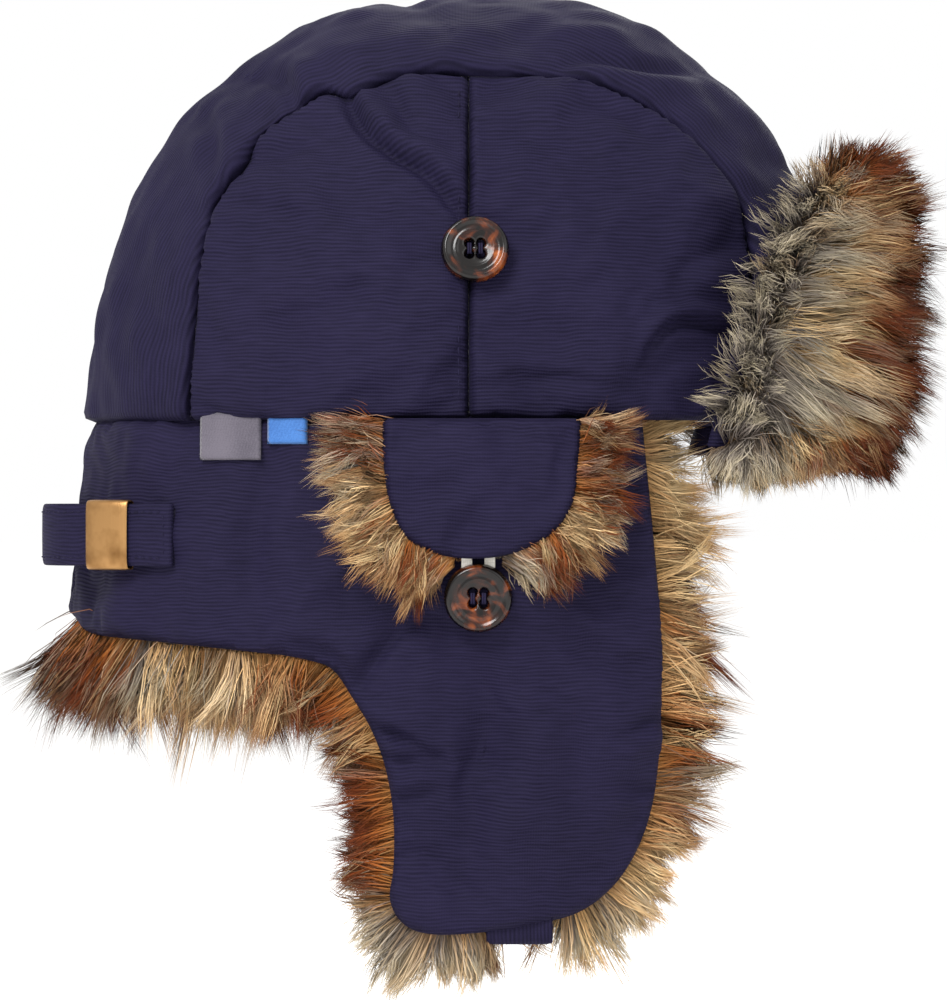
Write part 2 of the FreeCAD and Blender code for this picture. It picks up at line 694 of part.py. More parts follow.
def strap_half(depth):
    """Half of the strap's outline at a depth inside its outer face: end, turn, round and back points."""
    start, along, outward = strap_run()
    turn = Vector(size("strap_turn_x"), -size("strap_turn_y"), 0)
    back_x = size("strap_back_x")
    # The round is tangent to the run at its turn and to the straight stretch across the back.
    radius = (turn.x - back_x) / (1 + outward.x)
    centre = turn - outward * radius
    inner = radius - depth
    middle_direction = (outward + Vector(-1, 0, 0)).normalize()
    return (
        start - outward * depth,
        turn - outward * depth,
        centre + middle_direction * inner,
        Vector(back_x + depth, centre.y, 0),
    )


def build_adjuster_strap():
    """The strap round the back: two straight runs, two rounds, and a straight stretch across."""
    body = doc.addObject("PartDesign::Body", "strap_body")
    sketch = attached_sketch(body, "strap_plan", "XY_Plane")
    faces = [strap_half(depth) for depth in (0.0, size("strap_thickness"))]
    for points in faces:
        for mirror in (1, -1):
            end, turn, middle, back = [(point.x, point.y * mirror) for point in points]
            sketch.addGeometry(line(end, turn), False)
            sketch.addGeometry(bow(turn, middle, back), False)
        back = points[3]
        sketch.addGeometry(line((back.x, back.y), (back.x, -back.y)), False)
    for mirror in (1, -1):
        outer_end, inner_end = faces[0][0], faces[1][0]
        sketch.addGeometry(
            line((outer_end.x, outer_end.y * mirror), (inner_end.x, inner_end.y * mirror)), False
        )
    pad(body, sketch, "sizes.strap_height")
    body.Placement = Placement(Vector(0, 0, size("strap_z")), Rotation())
    keep(body, "adjuster_strap")


def build_keeper():
    """The brass keeper: a flat rectangular tube that slides along the strap's near run."""
    start, along, outward = strap_run()
    body = doc.addObject("PartDesign::Body", "keeper_body")
    sketch = attached_sketch(body, "keeper_outline", "XY_Plane")
    draw_rectangle(sketch, "sizes.keeper_depth", "sizes.keeper_height")
    tube = pad(body, sketch, "sizes.keeper_length")
    doc.recompute()
    slot = attached_sketch(body, "keeper_slot", "XY_Plane")
    inner = "- 2 * sizes.keeper_wall"
    draw_rectangle(slot, f"sizes.keeper_depth {inner}", f"sizes.keeper_height {inner}")
    cut = body.newObject("PartDesign::Pocket", "keeper_cut")
    cut.Profile = slot
    cut.Reversed = True
    bind(cut, {"Length": "sizes.keeper_length * 2"})
    doc.recompute()
    if cut.Shape.Volume > tube.Shape.Volume * 0.6:
        raise RuntimeError("strap_keeper: its slot cuts nothing")
    rounded = body.newObject("PartDesign::Fillet", "keeper_round")
    corners = [
        f"Edge{number}"
        for number, edge in enumerate(cut.Shape.Edges, start=1)
        if is_outer_corner(edge)
    ]
    rounded.Base = (cut, corners)
    bind(rounded, {"Radius": "sizes.keeper_round"})
    middle = start + along * size("keeper_run") - outward * (size("strap_thickness") / 2)
    middle.z = size("strap_z") + size("strap_height") / 2
    turn = Rotation(outward, Vector(0, 0, 1), along, "ZXY")
    body.Placement = Placement(middle - along * (size("keeper_length") / 2), turn)
    keep(body, "strap_keeper")


def is_outer_corner(edge):
    """Whether an edge is one of the keeper's four long outer corners."""
    first, last = edge.Vertexes[0].Point, edge.Vertexes[-1].Point
    long_enough = abs(abs(first.z - last.z) - size("keeper_length")) < 0.01
    outside = abs(abs(first.x) - size("keeper_depth") / 2) < 0.01
    return long_enough and outside


def build_strap_patch():
    """The hook-and-loop patch on the curtain under the strap's free end."""
    start, along, outward = strap_run()
    depth = size("strap_thickness") + size("sewn_gap") + size("patch_thickness")
    middle = start + along * (size("strap_patch_length") / 2) - outward * depth
    middle.z = size("strap_z") + size("strap_height") / 2
    plate(
        "strap_patch",
        "strap_hook_patch",
        "sizes.strap_patch_length",
        "sizes.patch_width",
        "sizes.patch_thickness",
        Placement(middle, Rotation(Vector(0, 0, 1).cross(outward), Vector(0, 0, 1), outward, "ZYX")),
    )


def build_tabs():
    """Two folded woven tabs, sewn into the seam under the crown's edge on the right."""
    stand = "sizes.label_offset + sizes.label_thickness"
    ring = wall_layer("tab_ring", CURTAIN_TOP, CURTAIN_HEM, f"-({stand})", "sizes.label_thickness")
    for colour in ("grey", "blue"):
        space = block(
            f"tab_space_{colour}",
            (f"sizes.{colour}_tab_rear", f"sizes.{colour}_tab_front"),
            ("-sizes.reach", "0"),
            (f"sizes.{colour}_tab_foot", "sizes.label_top"),
        )
        keep(combine("Common", f"tab_{colour}", ring, space), f"woven_label_{colour}")


# ---------------------------------------------------------------- chin straps


def build_chin_straps():
    """A chin strap in each ear flap: its sewn root under the tip, and the free part folded up inside."""
    thickness = size("chin_strap_thickness")
    gap = size("strap_root_gap")
    root_z = size("flap_tip") - gap - thickness
    inner_y = size("chin_strap_y")
    for side, sign in SIDES:
        outer_y = size("tip_half_width") - size("strap_root_inset")
        root_inner = inner_y + thickness + gap
        middle_y = sign * (outer_y + root_inner) / 2
        root = doc.addObject("PartDesign::Body", f"strap_root_{side}")
        sketch = attached_sketch(root, f"strap_root_outline_{side}", "XY_Plane")
        outer = "sizes.tip_half_width - sizes.strap_root_inset"
        inner = "sizes.chin_strap_y + sizes.chin_strap_thickness + sizes.strap_root_gap"
        draw_rectangle(sketch, "sizes.chin_strap_width", f"{outer} - ({inner})")
        pad(root, sketch, "sizes.chin_strap_thickness")
        root.Placement = Placement(Vector(size("chin_strap_x"), middle_y, root_z), Rotation())
        keep(root, f"chin_strap_root_{side}")

        middle_z = root_z + size("chin_strap_length") / 2
        lying = Placement(Vector(size("chin_strap_x"), sign * inner_y, middle_z), facing(sign))
        plate(
            f"strap_free_{side}",
            f"chin_strap_{side}",
            "sizes.chin_strap_width",
            "sizes.chin_strap_length",
            "sizes.chin_strap_thickness",
            lying,
        )
        strap_end = root_z + size("chin_strap_length")
        patch_z = strap_end - size("patch_inset") - size("patch_length") / 2
        patch_y = sign * (inner_y - size("patch_thickness") - size("patch_gap"))
        on_strap = Placement(Vector(size("chin_strap_x"), patch_y, patch_z), facing(sign))
        plate(
            f"chin_patch_{side}",
            f"chin_strap_patch_{side}",
            "sizes.patch_width",
            "sizes.patch_length",
            "sizes.patch_thickness",
            on_strap,
        )


# ---------------------------------------------------------------- build, test and write


def check_everything():
    """Raises an error if an object failed or a sub-part is not a valid solid."""
    for thing in doc.Objects:
        if "Invalid" in thing.State or "Error" in thing.State:
            raise RuntimeError(f"{thing.Name} failed: {thing.State}")
    for thing in sub_parts:
        if thing.Shape.isNull() or not thing.Shape.isValid() or thing.Shape.Volume <= 0:
            raise RuntimeError(f"{thing.Label} has no valid solid")


def write_everything():
    """Writes each sub-part to its own STEP file and prints its size."""
    os.makedirs("parts", exist_ok=True)
    for thing in sub_parts:
        thing.Shape.exportStep(f"parts/{thing.Label}.step")
        box = thing.Shape.BoundBox
        print(
            f"{thing.Label:28s} solids {len(thing.Shape.Solids)} volume {thing.Shape.Volume:10.1f} "
            f"x {box.XMin:7.1f} {box.XMax:7.1f} y {box.YMin:7.1f} {box.YMax:7.1f} "
            f"z {box.ZMin:7.1f} {box.ZMax:7.1f}"
        )


build_crown()
build_curtain()
build_ear_flaps()
build_ear_hatches()
build_buttons()
build_visor()
build_adjuster_strap()
build_keeper()
build_strap_patch()
build_tabs()
build_chin_straps()
doc.recompute()
check_everything()
write_everything()
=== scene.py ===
import logging
import math
from dataclasses import dataclass, fields
from enum import Enum
from typing import Callable

import bmesh
import bpy
import numpy as np
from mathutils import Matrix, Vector
from mathutils.geometry import delaunay_2d_cdt


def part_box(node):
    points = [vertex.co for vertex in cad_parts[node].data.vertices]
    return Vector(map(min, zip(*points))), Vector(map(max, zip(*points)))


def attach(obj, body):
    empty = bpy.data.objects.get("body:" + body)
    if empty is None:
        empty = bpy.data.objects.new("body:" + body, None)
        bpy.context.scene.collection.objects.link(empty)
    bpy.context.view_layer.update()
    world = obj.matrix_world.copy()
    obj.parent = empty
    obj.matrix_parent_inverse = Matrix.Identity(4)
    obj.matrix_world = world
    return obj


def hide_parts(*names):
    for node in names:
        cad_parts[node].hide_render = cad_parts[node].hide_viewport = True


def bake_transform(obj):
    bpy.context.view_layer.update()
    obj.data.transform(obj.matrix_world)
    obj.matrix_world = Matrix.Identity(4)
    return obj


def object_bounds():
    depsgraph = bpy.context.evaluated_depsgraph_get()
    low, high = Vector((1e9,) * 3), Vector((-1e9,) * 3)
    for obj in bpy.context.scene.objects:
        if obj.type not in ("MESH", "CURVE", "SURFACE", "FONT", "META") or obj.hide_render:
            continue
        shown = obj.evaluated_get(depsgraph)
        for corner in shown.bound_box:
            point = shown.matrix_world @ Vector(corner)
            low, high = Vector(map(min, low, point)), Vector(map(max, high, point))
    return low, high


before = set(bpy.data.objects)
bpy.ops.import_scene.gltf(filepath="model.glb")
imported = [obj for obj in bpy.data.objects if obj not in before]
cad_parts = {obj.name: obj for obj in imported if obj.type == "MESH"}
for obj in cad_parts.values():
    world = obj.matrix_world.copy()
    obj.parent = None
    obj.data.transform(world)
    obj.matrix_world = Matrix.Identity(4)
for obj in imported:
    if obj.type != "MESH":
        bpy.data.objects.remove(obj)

CAD_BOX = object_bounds()
MM = 0.001
LOG = logging.getLogger("trapper_hat")
ALONG = np.array((1.0, 0.0, 0.0))
UP = np.array((0.0, 0.0, 1.0))
Array = np.ndarray
Relief = Callable[[Array, Array], Array]
Surface = Callable[[Array, Array], Array]


class Side(Enum):
    """The two sides of the wearer."""

    RIGHT = -1
    LEFT = 1

    @property
    def sign(self) -> int:
        """The sign of Y on this side."""
        return self.value

    @property
    def word(self) -> str:
        """The word that ends this side's node names."""
        return self.name.lower()


class Material(Enum):
    """The record's material slots."""

    CLOTH = "navy_cloth"
    FUR = "fur"
    LINING = "lining_cloth"
    SWEATBAND = "sweatband_cloth"
    WADDING = "wadding"
    BUTTON = "button_resin"
    THREAD = "thread"
    ELASTIC = "elastic"
    BRASS = "brass"
    HOOK_TAPE = "hook_tape"
    GREY_TAB = "grey_tab"
    BLUE_TAB = "blue_tab"


# ---- shader helpers


def linear(colour: str) -> tuple[float, float, float, float]:
    """Turns an sRGB hex colour into linear light.

    Args:
        colour: Six hex digits after a hash sign.

    Returns:
        Red, green, blue and an alpha of 1.
    """
    parts = (int(colour[at:at + 2], 16) / 255 for at in (1, 3, 5))
    return (*((c / 12.92 if c <= 0.04045 else ((c + 0.055) / 1.055) ** 2.4) for c in parts), 1.0)


def add(tree: bpy.types.NodeTree, kind: str, settings: dict | None = None, links: dict | None = None):
    """Adds a node with its settings and links.

    Args:
        tree: The node tree.
        kind: The node's type, without ShaderNode.
        settings: A value for each property (a word) or socket (a number or a socket's name).
        links: An output socket, or a node with its first output, for each input socket's number or name.

    Returns:
        The new node.
    """
    return adjust(tree, tree.nodes.new(f"ShaderNode{kind}"), settings, links)


def adjust(tree: bpy.types.NodeTree, node: bpy.types.Node, settings: dict | None, links: dict | None):
    """Gives a node its settings and links, as add does; a linked node gives its first output."""
    for name, value in (settings or {}).items():
        if isinstance(name, str) and hasattr(node, name):
            setattr(node, name, value)
        else:
            node.inputs[name].default_value = value
    for name, source in (links or {}).items():
        tree.links.new(first_output(source), node.inputs[name])
    return node


def first_output(source: bpy.types.Node | bpy.types.NodeSocket) -> bpy.types.NodeSocket:
    """A node's first output; a socket stays as it is."""
    return source.outputs[0] if isinstance(source, bpy.types.Node) else source


def ramp(tree: bpy.types.NodeTree, source, stops: dict[float, str]):
    """Adds a colour ramp.

    Args:
        tree: The node tree.
        source: The output socket that drives it.
        stops: A hex colour for each place from 0 to 1, in rising order.

    Returns:
        The ramp's colour socket.
    """
    made = add(tree, "ValToRGB", links={"Fac": source})
    elements = made.color_ramp.elements
    while len(elements) < len(stops):
        elements.new(0.5)
    for element, (place, colour) in zip(elements, stops.items()):
        element.position = place
        element.color = linear(colour)
    return made.outputs["Color"]


def blank(name: str) -> tuple[bpy.types.Material, bpy.types.NodeTree, bpy.types.Node]:
    """Starts a material.

    Args:
        name: The material's name.

    Returns:
        The material, its node tree and its Principled shader.
    """
    made = bpy.data.materials.new(name)
    made.use_nodes = True
    return made, made.node_tree, made.node_tree.nodes["Principled BSDF"]


def mixed(tree: bpy.types.NodeTree, blend: str, share, first, second):
    """Mixes two colours.

    Args:
        tree: The node tree.
        blend: The blend type.
        share: A number, a node or an output socket.
        first: A linear colour, a node or an output socket.
        second: The same, for the second colour.

    Returns:
        The mixed colour's socket.
    """
    made = add(tree, "Mix", {"data_type": "RGBA", "blend_type": blend})
    for place, value in ((0, share), (6, first), (7, second)):
        if isinstance(value, bpy.types.bpy_struct):
            tree.links.new(first_output(value), made.inputs[place])
        else:
            made.inputs[place].default_value = value
    return made.outputs[2]


# ---- finishes


@dataclass(frozen=True)
class RibbedPoplin:
    """Polyester-cotton poplin with a fine rib, piece-dyed navy, with a water-repellent finish.

    To the eye: a dark indigo that is nearly matt, with fine level ribs that catch the light, and a faint
    paler bloom where the cloth turns away. The ribs' light and shade are painted into the colour: lit
    ridges and shaded grooves. The rib and the warp threads across it are drawn as coarse as they need
    to be to show.
    """

    name: str = "ribbed_poplin_navy"
    # The rib's painted shade in the grooves, then its painted light on the ridges.
    groove_shade: str = "#100d20"
    lit: str = "#1f1b34"
    worn: str = "#27223e"
    rib: float = 1.15 * MM
    warp: float = 0.8 * MM
    wander: float = 26 * MM
    patch: float = 45 * MM
    roughness: float = 0.72

    def build(self) -> bpy.types.Material:
        """Builds the cloth from the weave attribute: level ribs that wander, with painted light on their
        ridges and painted shade in their grooves, slubs and worn patches.
        """
        made, tree, shader = blank(self.name)
        vector = add(tree, "Attribute", {"attribute_name": "weave"}).outputs["Vector"]
        place = add(tree, "SeparateXYZ", links={0: vector})
        wander = add(tree, "TexNoise", {"Scale": 1 / self.wander, "Detail": 2.0}, {"Vector": vector})
        sway = {0: wander.outputs["Fac"], 2: place.outputs["Y"]}
        shifted = add(tree, "Math", {"operation": "MULTIPLY_ADD", 1: 5 * MM}, sway)
        bands = []
        for source, period in ((shifted.outputs[0], self.rib), (place.outputs["X"], self.warp)):
            turned = add(tree, "Math", {"operation": "MULTIPLY", 1: 2 * math.pi / period}, {0: source})
            band = add(tree, "Math", {"operation": "SINE"}, {0: turned})
            bands.append(band.outputs[0])
        slub_place = add(tree, "Mapping", {"Scale": (1 / (9 * MM), 1 / (0.9 * MM), 1.0)}, {"Vector": vector})
        slub = add(tree, "TexNoise", {"Scale": 1.0, "Detail": 3.0}, {"Vector": slub_place})
        rib = add(tree, "MapRange", {"From Min": -1.0, "From Max": 1.0}, {"Value": bands[0]})
        slubbed = {0: rib, 2: slub.outputs["Fac"]}
        streak = add(tree, "Math", {"operation": "MULTIPLY_ADD", 1: 0.55}, slubbed)
        shade = add(tree, "MapRange", {"From Min": 0.35, "From Max": 1.15}, {"Value": streak})
        # Painted light and shade of the ribs: the lit colour on the ridges and painted shade in the grooves,
        # shifted by the slubs.
        base = ramp(tree, shade, {0.0: self.groove_shade, 1.0: self.lit})
        patch = add(tree, "TexNoise", {"Scale": 1 / self.patch, "Detail": 3.0}, {"Vector": vector})
        wear = {"From Min": 0.4, "From Max": 0.75, "To Max": 0.22}
        worn = add(tree, "MapRange", wear, {"Value": patch.outputs["Fac"]})
        colour = mixed(tree, "MIX", worn.outputs[0], base, linear(self.worn))
        height = add(tree, "Math", {"operation": "MULTIPLY_ADD", 1: 0.35}, {0: bands[1], 2: bands[0]})
        threads = {0: slub.outputs["Fac"], 2: height}
        coarse = add(tree, "Math", {"operation": "MULTIPLY_ADD", 1: 1.6}, threads)
        bump = add(tree, "Bump", {"Strength": 0.55, "Distance": 0.12 * MM}, {"Height": coarse})
        settings = {
            "Roughness": self.roughness, "Sheen Weight": 0.03, "Sheen Roughness": 0.4,
            "Sheen Tint": linear("#8d88b5"), "Specular IOR Level": 0.09,
        }
        adjust(tree, shader, settings, {"Base Color": colour, "Normal": bump})
        return made


@dataclass(frozen=True)
class LongPileFur:
    """Modacrylic long-pile imitation fur, knitted backing, jacquard-dyed.

    To the eye: cream and grey roots, tan lengths and rust-brown tips in soft patches, each hair with a
    faint shine along it.
    """

    name: str = "long_pile_fur"
    pale: tuple[str, str, str, str] = ("#a27a4a", "#dcb580", "#eacb98", "#bd8549")
    rust: tuple[str, str, str, str] = ("#a46e38", "#a05a26", "#7c3a16", "#54240f")
    grey: tuple[str, str, str, str] = ("#62564e", "#857a72", "#b3a796", "#d8c8a4")
    places: tuple[float, float, float, float] = (0.0, 0.35, 0.7, 1.0)
    own_side: float = 0.3

    def build(self) -> bpy.types.Material:
        """Builds the fur from the pile attribute (root to tip, hair, lock) and the dye attribute."""
        made, tree, shader = blank(self.name)
        pile = add(tree, "Attribute", {"attribute_name": "pile"})
        parts = add(tree, "SeparateColor", links={0: pile.outputs["Color"]})
        dye = add(tree, "Attribute", {"attribute_name": "dye"})
        shares = add(tree, "SeparateColor", links={0: dye.outputs["Color"]})
        dyes = (self.pale, self.rust, self.grey)
        tones = [ramp(tree, parts, dict(zip(self.places, tone))) for tone in dyes]
        colour = mixed(tree, "MIX", shares.outputs[0], tones[0], tones[1])
        colour = mixed(tree, "MIX", shares.outputs[1], colour, tones[2])
        strength = add(tree, "MapRange", {"To Min": 0.82, "To Max": 1.14}, {"Value": parts.outputs[1]})
        colour = mixed(tree, "MULTIPLY", 1.0, colour, strength)
        lock = add(tree, "MapRange", {"To Min": 0.74, "To Max": 1.1}, {"Value": parts.outputs[2]})
        colour = mixed(tree, "MULTIPLY", 1.0, colour, lock)
        settings = {"Roughness": 0.6, "Specular IOR Level": 0.16}
        adjust(tree, shader, settings, {"Base Color": colour, "Normal": self.soft_normal(tree)})
        return made

    def soft_normal(self, tree: bpy.types.NodeTree):
        """The fur's shading direction: mostly the pile's outward side, so that it shades as a soft mass.

        Args:
            tree: The node tree.

        Returns:
            The direction's socket.
        """
        outward = add(tree, "Attribute", {"attribute_name": "outward"})
        spaces = {"vector_type": "NORMAL", "convert_from": "OBJECT", "convert_to": "WORLD"}
        turned = add(tree, "VectorTransform", spaces, {0: outward.outputs["Vector"]})
        seen = add(tree, "NewGeometry")
        pair = {0: turned, 1: seen.outputs["Incoming"]}
        facing = add(tree, "VectorMath", {"operation": "DOT_PRODUCT"}, pair)
        sign = add(tree, "Math", {"operation": "SIGN"}, {0: facing.outputs["Value"]})
        toward = add(tree, "VectorMath", {"operation": "SCALE"}, {0: turned, 3: sign})
        own = add(tree, "VectorMath", {"operation": "SCALE", 3: self.own_side}, {0: seen.outputs["Normal"]})
        both = add(tree, "VectorMath", {"operation": "ADD"}, {0: toward, 1: own})
        return add(tree, "VectorMath", {"operation": "NORMALIZE"}, {0: both}).outputs[0]


@dataclass(frozen=True)
class TortoiseshellResin:
    """Cast polyester resin, poured in two colours and polished.

    To the eye: near-black with glowing rust clouds and a hard wet shine.
    """

    name: str = "tortoiseshell_resin"
    dark: str = "#0b0706"
    amber: str = "#5c2a10"
    cloud: float = 7 * MM

    def build(self) -> bpy.types.Material:
        """Builds the resin."""
        made, tree, shader = blank(self.name)
        vector = add(tree, "TexCoord").outputs["Object"]
        swirl = {"Scale": 1 / self.cloud, "Detail": 3.0, "Distortion": 0.8}
        cloud = add(tree, "TexNoise", swirl, {"Vector": vector})
        stops = {0.0: self.dark, 0.47: self.dark, 0.54: "#2a120a", 0.62: self.amber, 0.75: "#9a5222"}
        settings = {
            "Roughness": 0.2, "IOR": 1.5, "Specular IOR Level": 0.3,
            "Coat Weight": 0.12, "Coat Roughness": 0.05,
        }
        adjust(tree, shader, settings, {"Base Color": ramp(tree, cloud.outputs["Fac"], stops)})
        return made


@dataclass(frozen=True)
class AntiquedBrass:
    """Brass-plated sheet steel, brushed and antiqued.

    To the eye: a warm dull gold with fine upright brush lines, darker in patches.
    """

    name: str = "antiqued_brass"
    bright: str = "#a98153"
    aged: str = "#6d4a26"
    brush: float = 0.35 * MM

    def build(self) -> bpy.types.Material:
        """Builds the brass."""
        made, tree, shader = blank(self.name)
        vector = add(tree, "TexCoord").outputs["Object"]
        cloud = add(tree, "TexNoise", {"Scale": 1 / (10 * MM), "Detail": 3.0}, {"Vector": vector})
        colour = ramp(tree, cloud.outputs["Fac"], {0.22: self.aged, 0.55: self.bright})
        upright = {"Scale": (1 / self.brush, 1 / self.brush, 1 / (9 * MM))}
        stretched = add(tree, "Mapping", upright, {"Vector": vector})
        lines = add(tree, "TexNoise", {"Scale": 1.0, "Detail": 2.0}, {"Vector": stretched})
        bump = add(tree, "Bump", {"Strength": 0.6, "Distance": 0.1 * MM}, {"Height": lines.outputs["Fac"]})
        rough = add(tree, "MapRange", {"To Min": 0.5, "To Max": 0.32}, {"Value": cloud.outputs["Fac"]})
        links = {"Base Color": colour, "Roughness": rough, "Normal": bump}
        adjust(tree, shader, {"Metallic": 1.0}, links)
        return made


@dataclass(frozen=True)
class PlainCloth:
    """A small cloth part: tape, thread, lining or tab, with threads that cross at a spacing of its own.

    To the eye: a soft single colour whose grain shows close up.
    """

    name: str
    colour: str
    second: str
    spacing: float
    roughness: float = 0.7
    sheen: float = 0.2

    def build(self) -> bpy.types.Material:
        """Builds the cloth."""
        made, tree, shader = blank(self.name)
        vector = add(tree, "TexCoord").outputs["Object"]
        threads = {"Scale": 1 / self.spacing, "Randomness": 0.45}
        grain = add(tree, "TexVoronoi", threads, {"Vector": vector}).outputs["Distance"]
        cloud = add(tree, "TexNoise", {"Scale": 1 / (14 * MM), "Detail": 3.0}, {"Vector": vector})
        both = {0: grain, 2: cloud.outputs["Fac"]}
        share = add(tree, "Math", {"operation": "MULTIPLY_ADD", 1: 0.6}, both)
        colour = ramp(tree, share, {0.4: self.colour, 0.95: self.second})
        bump = add(tree, "Bump", {"Strength": 0.5, "Distance": 0.12 * MM}, {"Height": grain})
        settings = {"Roughness": self.roughness, "Sheen Weight": self.sheen, "Specular IOR Level": 0.15}
        adjust(tree, shader, settings, {"Base Color": colour, "Normal": bump})
        return made


@dataclass(frozen=True)
class QuiltedTaffeta:
    """Nylon taffeta lining, quilted to the wadding in diamonds.

    To the eye: a smooth dark cloth with a soft shine that swells between the quilting lines.
    """

    name: str = "quilted_taffeta"
    colour: str = "#211d35"
    diamond: float = 24 * MM

    def build(self) -> bpy.types.Material:
        """Builds the lining, with painted shade along its quilting lines."""
        made, tree, shader = blank(self.name)
        vector = add(tree, "TexCoord").outputs["Object"]
        bias = {"Rotation": (0.0, 0.0, math.radians(45)), "Scale": (1.0, 1.0, 0.7)}
        turned = add(tree, "Mapping", bias, {"Vector": vector})
        place = add(tree, "SeparateXYZ", links={0: turned})
        swells = []
        for source in (place.outputs["X"], place.outputs["Y"]):
            phase = add(tree, "Math", {"operation": "MULTIPLY", 1: math.pi / self.diamond}, {0: source})
            wave = add(tree, "Math", {"operation": "SINE"}, {0: phase})
            swells.append(add(tree, "Math", {"operation": "ABSOLUTE"}, {0: wave}).outputs[0])
        low = add(tree, "Math", {"operation": "MINIMUM"}, {0: swells[0], 1: swells[1]})
        soft = add(tree, "Math", {"operation": "POWER", 1: 0.4}, {0: low})
        bump = add(tree, "Bump", {"Strength": 0.9, "Distance": 3 * MM}, {"Height": soft})
        # Painted shade: the cloth is darkened along the quilting lines.
        colour = ramp(tree, soft, {0.1: "#14111f", 0.6: self.colour})
        settings = {"Roughness": 0.42, "Sheen Weight": 0.3}
        adjust(tree, shader, settings, {"Base Color": colour, "Normal": bump})
        return made


class Finishes:
    """Every finish of the hat, built once, by material slot."""

    def __init__(self) -> None:
        """Builds the finishes."""
        recipes = {
            Material.CLOTH: RibbedPoplin(),
            Material.FUR: LongPileFur(),
            Material.BUTTON: TortoiseshellResin(),
            Material.BRASS: AntiquedBrass(),
            Material.LINING: QuiltedTaffeta(),
            Material.SWEATBAND: PlainCloth("brushed_knit_band", "#191627", "#2a263d", 0.9 * MM, 0.85, 0.4),
            Material.WADDING: PlainCloth("polyester_wadding", "#d8d5cc", "#f0eee8", 3 * MM, 0.95, 0.1),
            Material.THREAD: PlainCloth("twisted_polyester_thread", "#0f0c1c", "#1e1a33", 0.4 * MM, 0.8, 0.0),
            Material.ELASTIC: PlainCloth("knitted_elastic", "#e9e6df", "#bdb9b0", 0.7 * MM, 0.8),
            Material.HOOK_TAPE: PlainCloth("hook_and_loop_tape", "#15121f", "#262335", 0.8 * MM, 0.95, 0.05),
            Material.GREY_TAB: PlainCloth("satin_tab_grey", "#433f49", "#5d5862", 0.5 * MM, 0.5),
            Material.BLUE_TAB: PlainCloth("satin_tab_blue", "#2a5490", "#4070b0", 0.5 * MM, 0.5),
        }
        self.made = {slot: recipe.build() for slot, recipe in recipes.items()}

    def dress(self, piece: bpy.types.Object, slot: Material) -> None:
        """Gives a piece one finish and names its slot.

        Args:
            piece: The piece.
            slot: The material slot.
        """
        piece.data.materials.clear()
        piece.data.materials.append(self.made[slot])

    def hand_over(
        self,
        piece: bpy.types.Object,
        slot: Material,
        nodes: tuple[str, ...] = (),
        body: str | None = None,
        fill: float | None = None,
    ) -> None:
        """Dresses a piece and puts it in its CAD nodes' place.

        Args:
            piece: The piece.
            slot: The material slot.
            nodes: The CAD nodes that it replaces.
            body: The body that it rides on, or none to leave it unattached.
            fill: For a padded piece, how firmly it is filled; not used.
        """
        self.dress(piece, slot)
        if nodes:
            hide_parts(*nodes)
        if body:
            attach(piece, body)
        LOG.info("%s: %d faces", piece.name, len(piece.data.polygons))

    def dress_node(self, node: str, slot: Material) -> None:
        """Gives a CAD node that stays a finish.

        Args:
            node: The node's name.
            slot: The material slot.
        """
        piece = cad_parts[node]
        for place in piece.material_slots:
            place.material = self.made[slot]
        if not piece.material_slots:
            piece.data.materials.append(self.made[slot])
        for face in piece.data.polygons:
            face.use_smooth = True


# ---- cloth geometry


@dataclass(frozen=True)
class Ripples:
    """Soft unevenness in cloth: plane waves in random directions that are the same each run."""

    seed: int
    shortest: float
    longest: float
    height: float
    count: int = 22

    def at(self, across: Array, along: Array) -> Array:
        """The height at places in the cloth.

        Args:
            across: First coordinates, in metres.
            along: Second coordinates, in metres.

        Returns:
            Heights in metres.
        """
        rng = np.random.default_rng(self.seed)
        total = np.zeros_like(across)
        for _ in range(self.count):
            length = self.shortest * (self.longest / self.shortest) ** rng.random()
            angle, phase = rng.random(2) * 2 * math.pi
            wave = (across * math.cos(angle) + along * math.sin(angle)) * 2 * math.pi / length
            total += np.sin(wave + phase) * (length / self.longest)
        return total * self.height / math.sqrt(self.count)


@dataclass(frozen=True)
class Crease:
    """A fold along a line in the cloth: a valley with a soft roll on one side of it."""

    line: tuple[tuple[float, float], ...]
    depth: float
    width: float
    roll: float = 0.6

    def at(self, across: Array, along: Array) -> Array:
        """The height that the crease adds at places in the cloth, in metres."""
        path = smooth_line([(u * MM, v * MM) for u, v in self.line], 2 * MM)
        run = np.diff(path, axis=0)
        length = np.hypot(*run.T)
        run = run / length[:, None]
        offset = np.stack((across, along), -1)[:, None] - path[:-1]
        forward = (offset * run).sum(-1)
        held = np.clip(forward, 0, length)
        gap = np.sqrt(((offset - run * held[..., None]) ** 2).sum(-1))
        near = gap.argmin(1)
        rows = np.arange(len(near))
        distance = gap[rows, near]
        turned = run[near, 0] * offset[rows, near, 1] - run[near, 1] * offset[rows, near, 0]
        aside = distance * np.sign(turned)
        share = (np.cumsum(length) - length)[near] + held[rows, near]
        fade = np.sin(math.pi * (0.12 + 0.76 * share / length.sum()))
        valley = -np.exp(-((distance / self.width) ** 2))
        roll = self.roll * np.exp(-(((aside - 2.1 * self.width) / (1.5 * self.width)) ** 2))
        return self.depth * fade * (valley + roll)


def uneven(waves: tuple[Ripples, ...], creases: tuple[Crease, ...], rest: Relief) -> Relief:
    """A cloth surface: ripples, then creases, then what else lifts or sinks it."""

    def at(u: Array, v: Array) -> Array:
        total = sum(wave.at(u, v) for wave in waves)
        for crease in creases:
            total = total + crease.at(u, v)
        return total + rest(u, v)

    return at


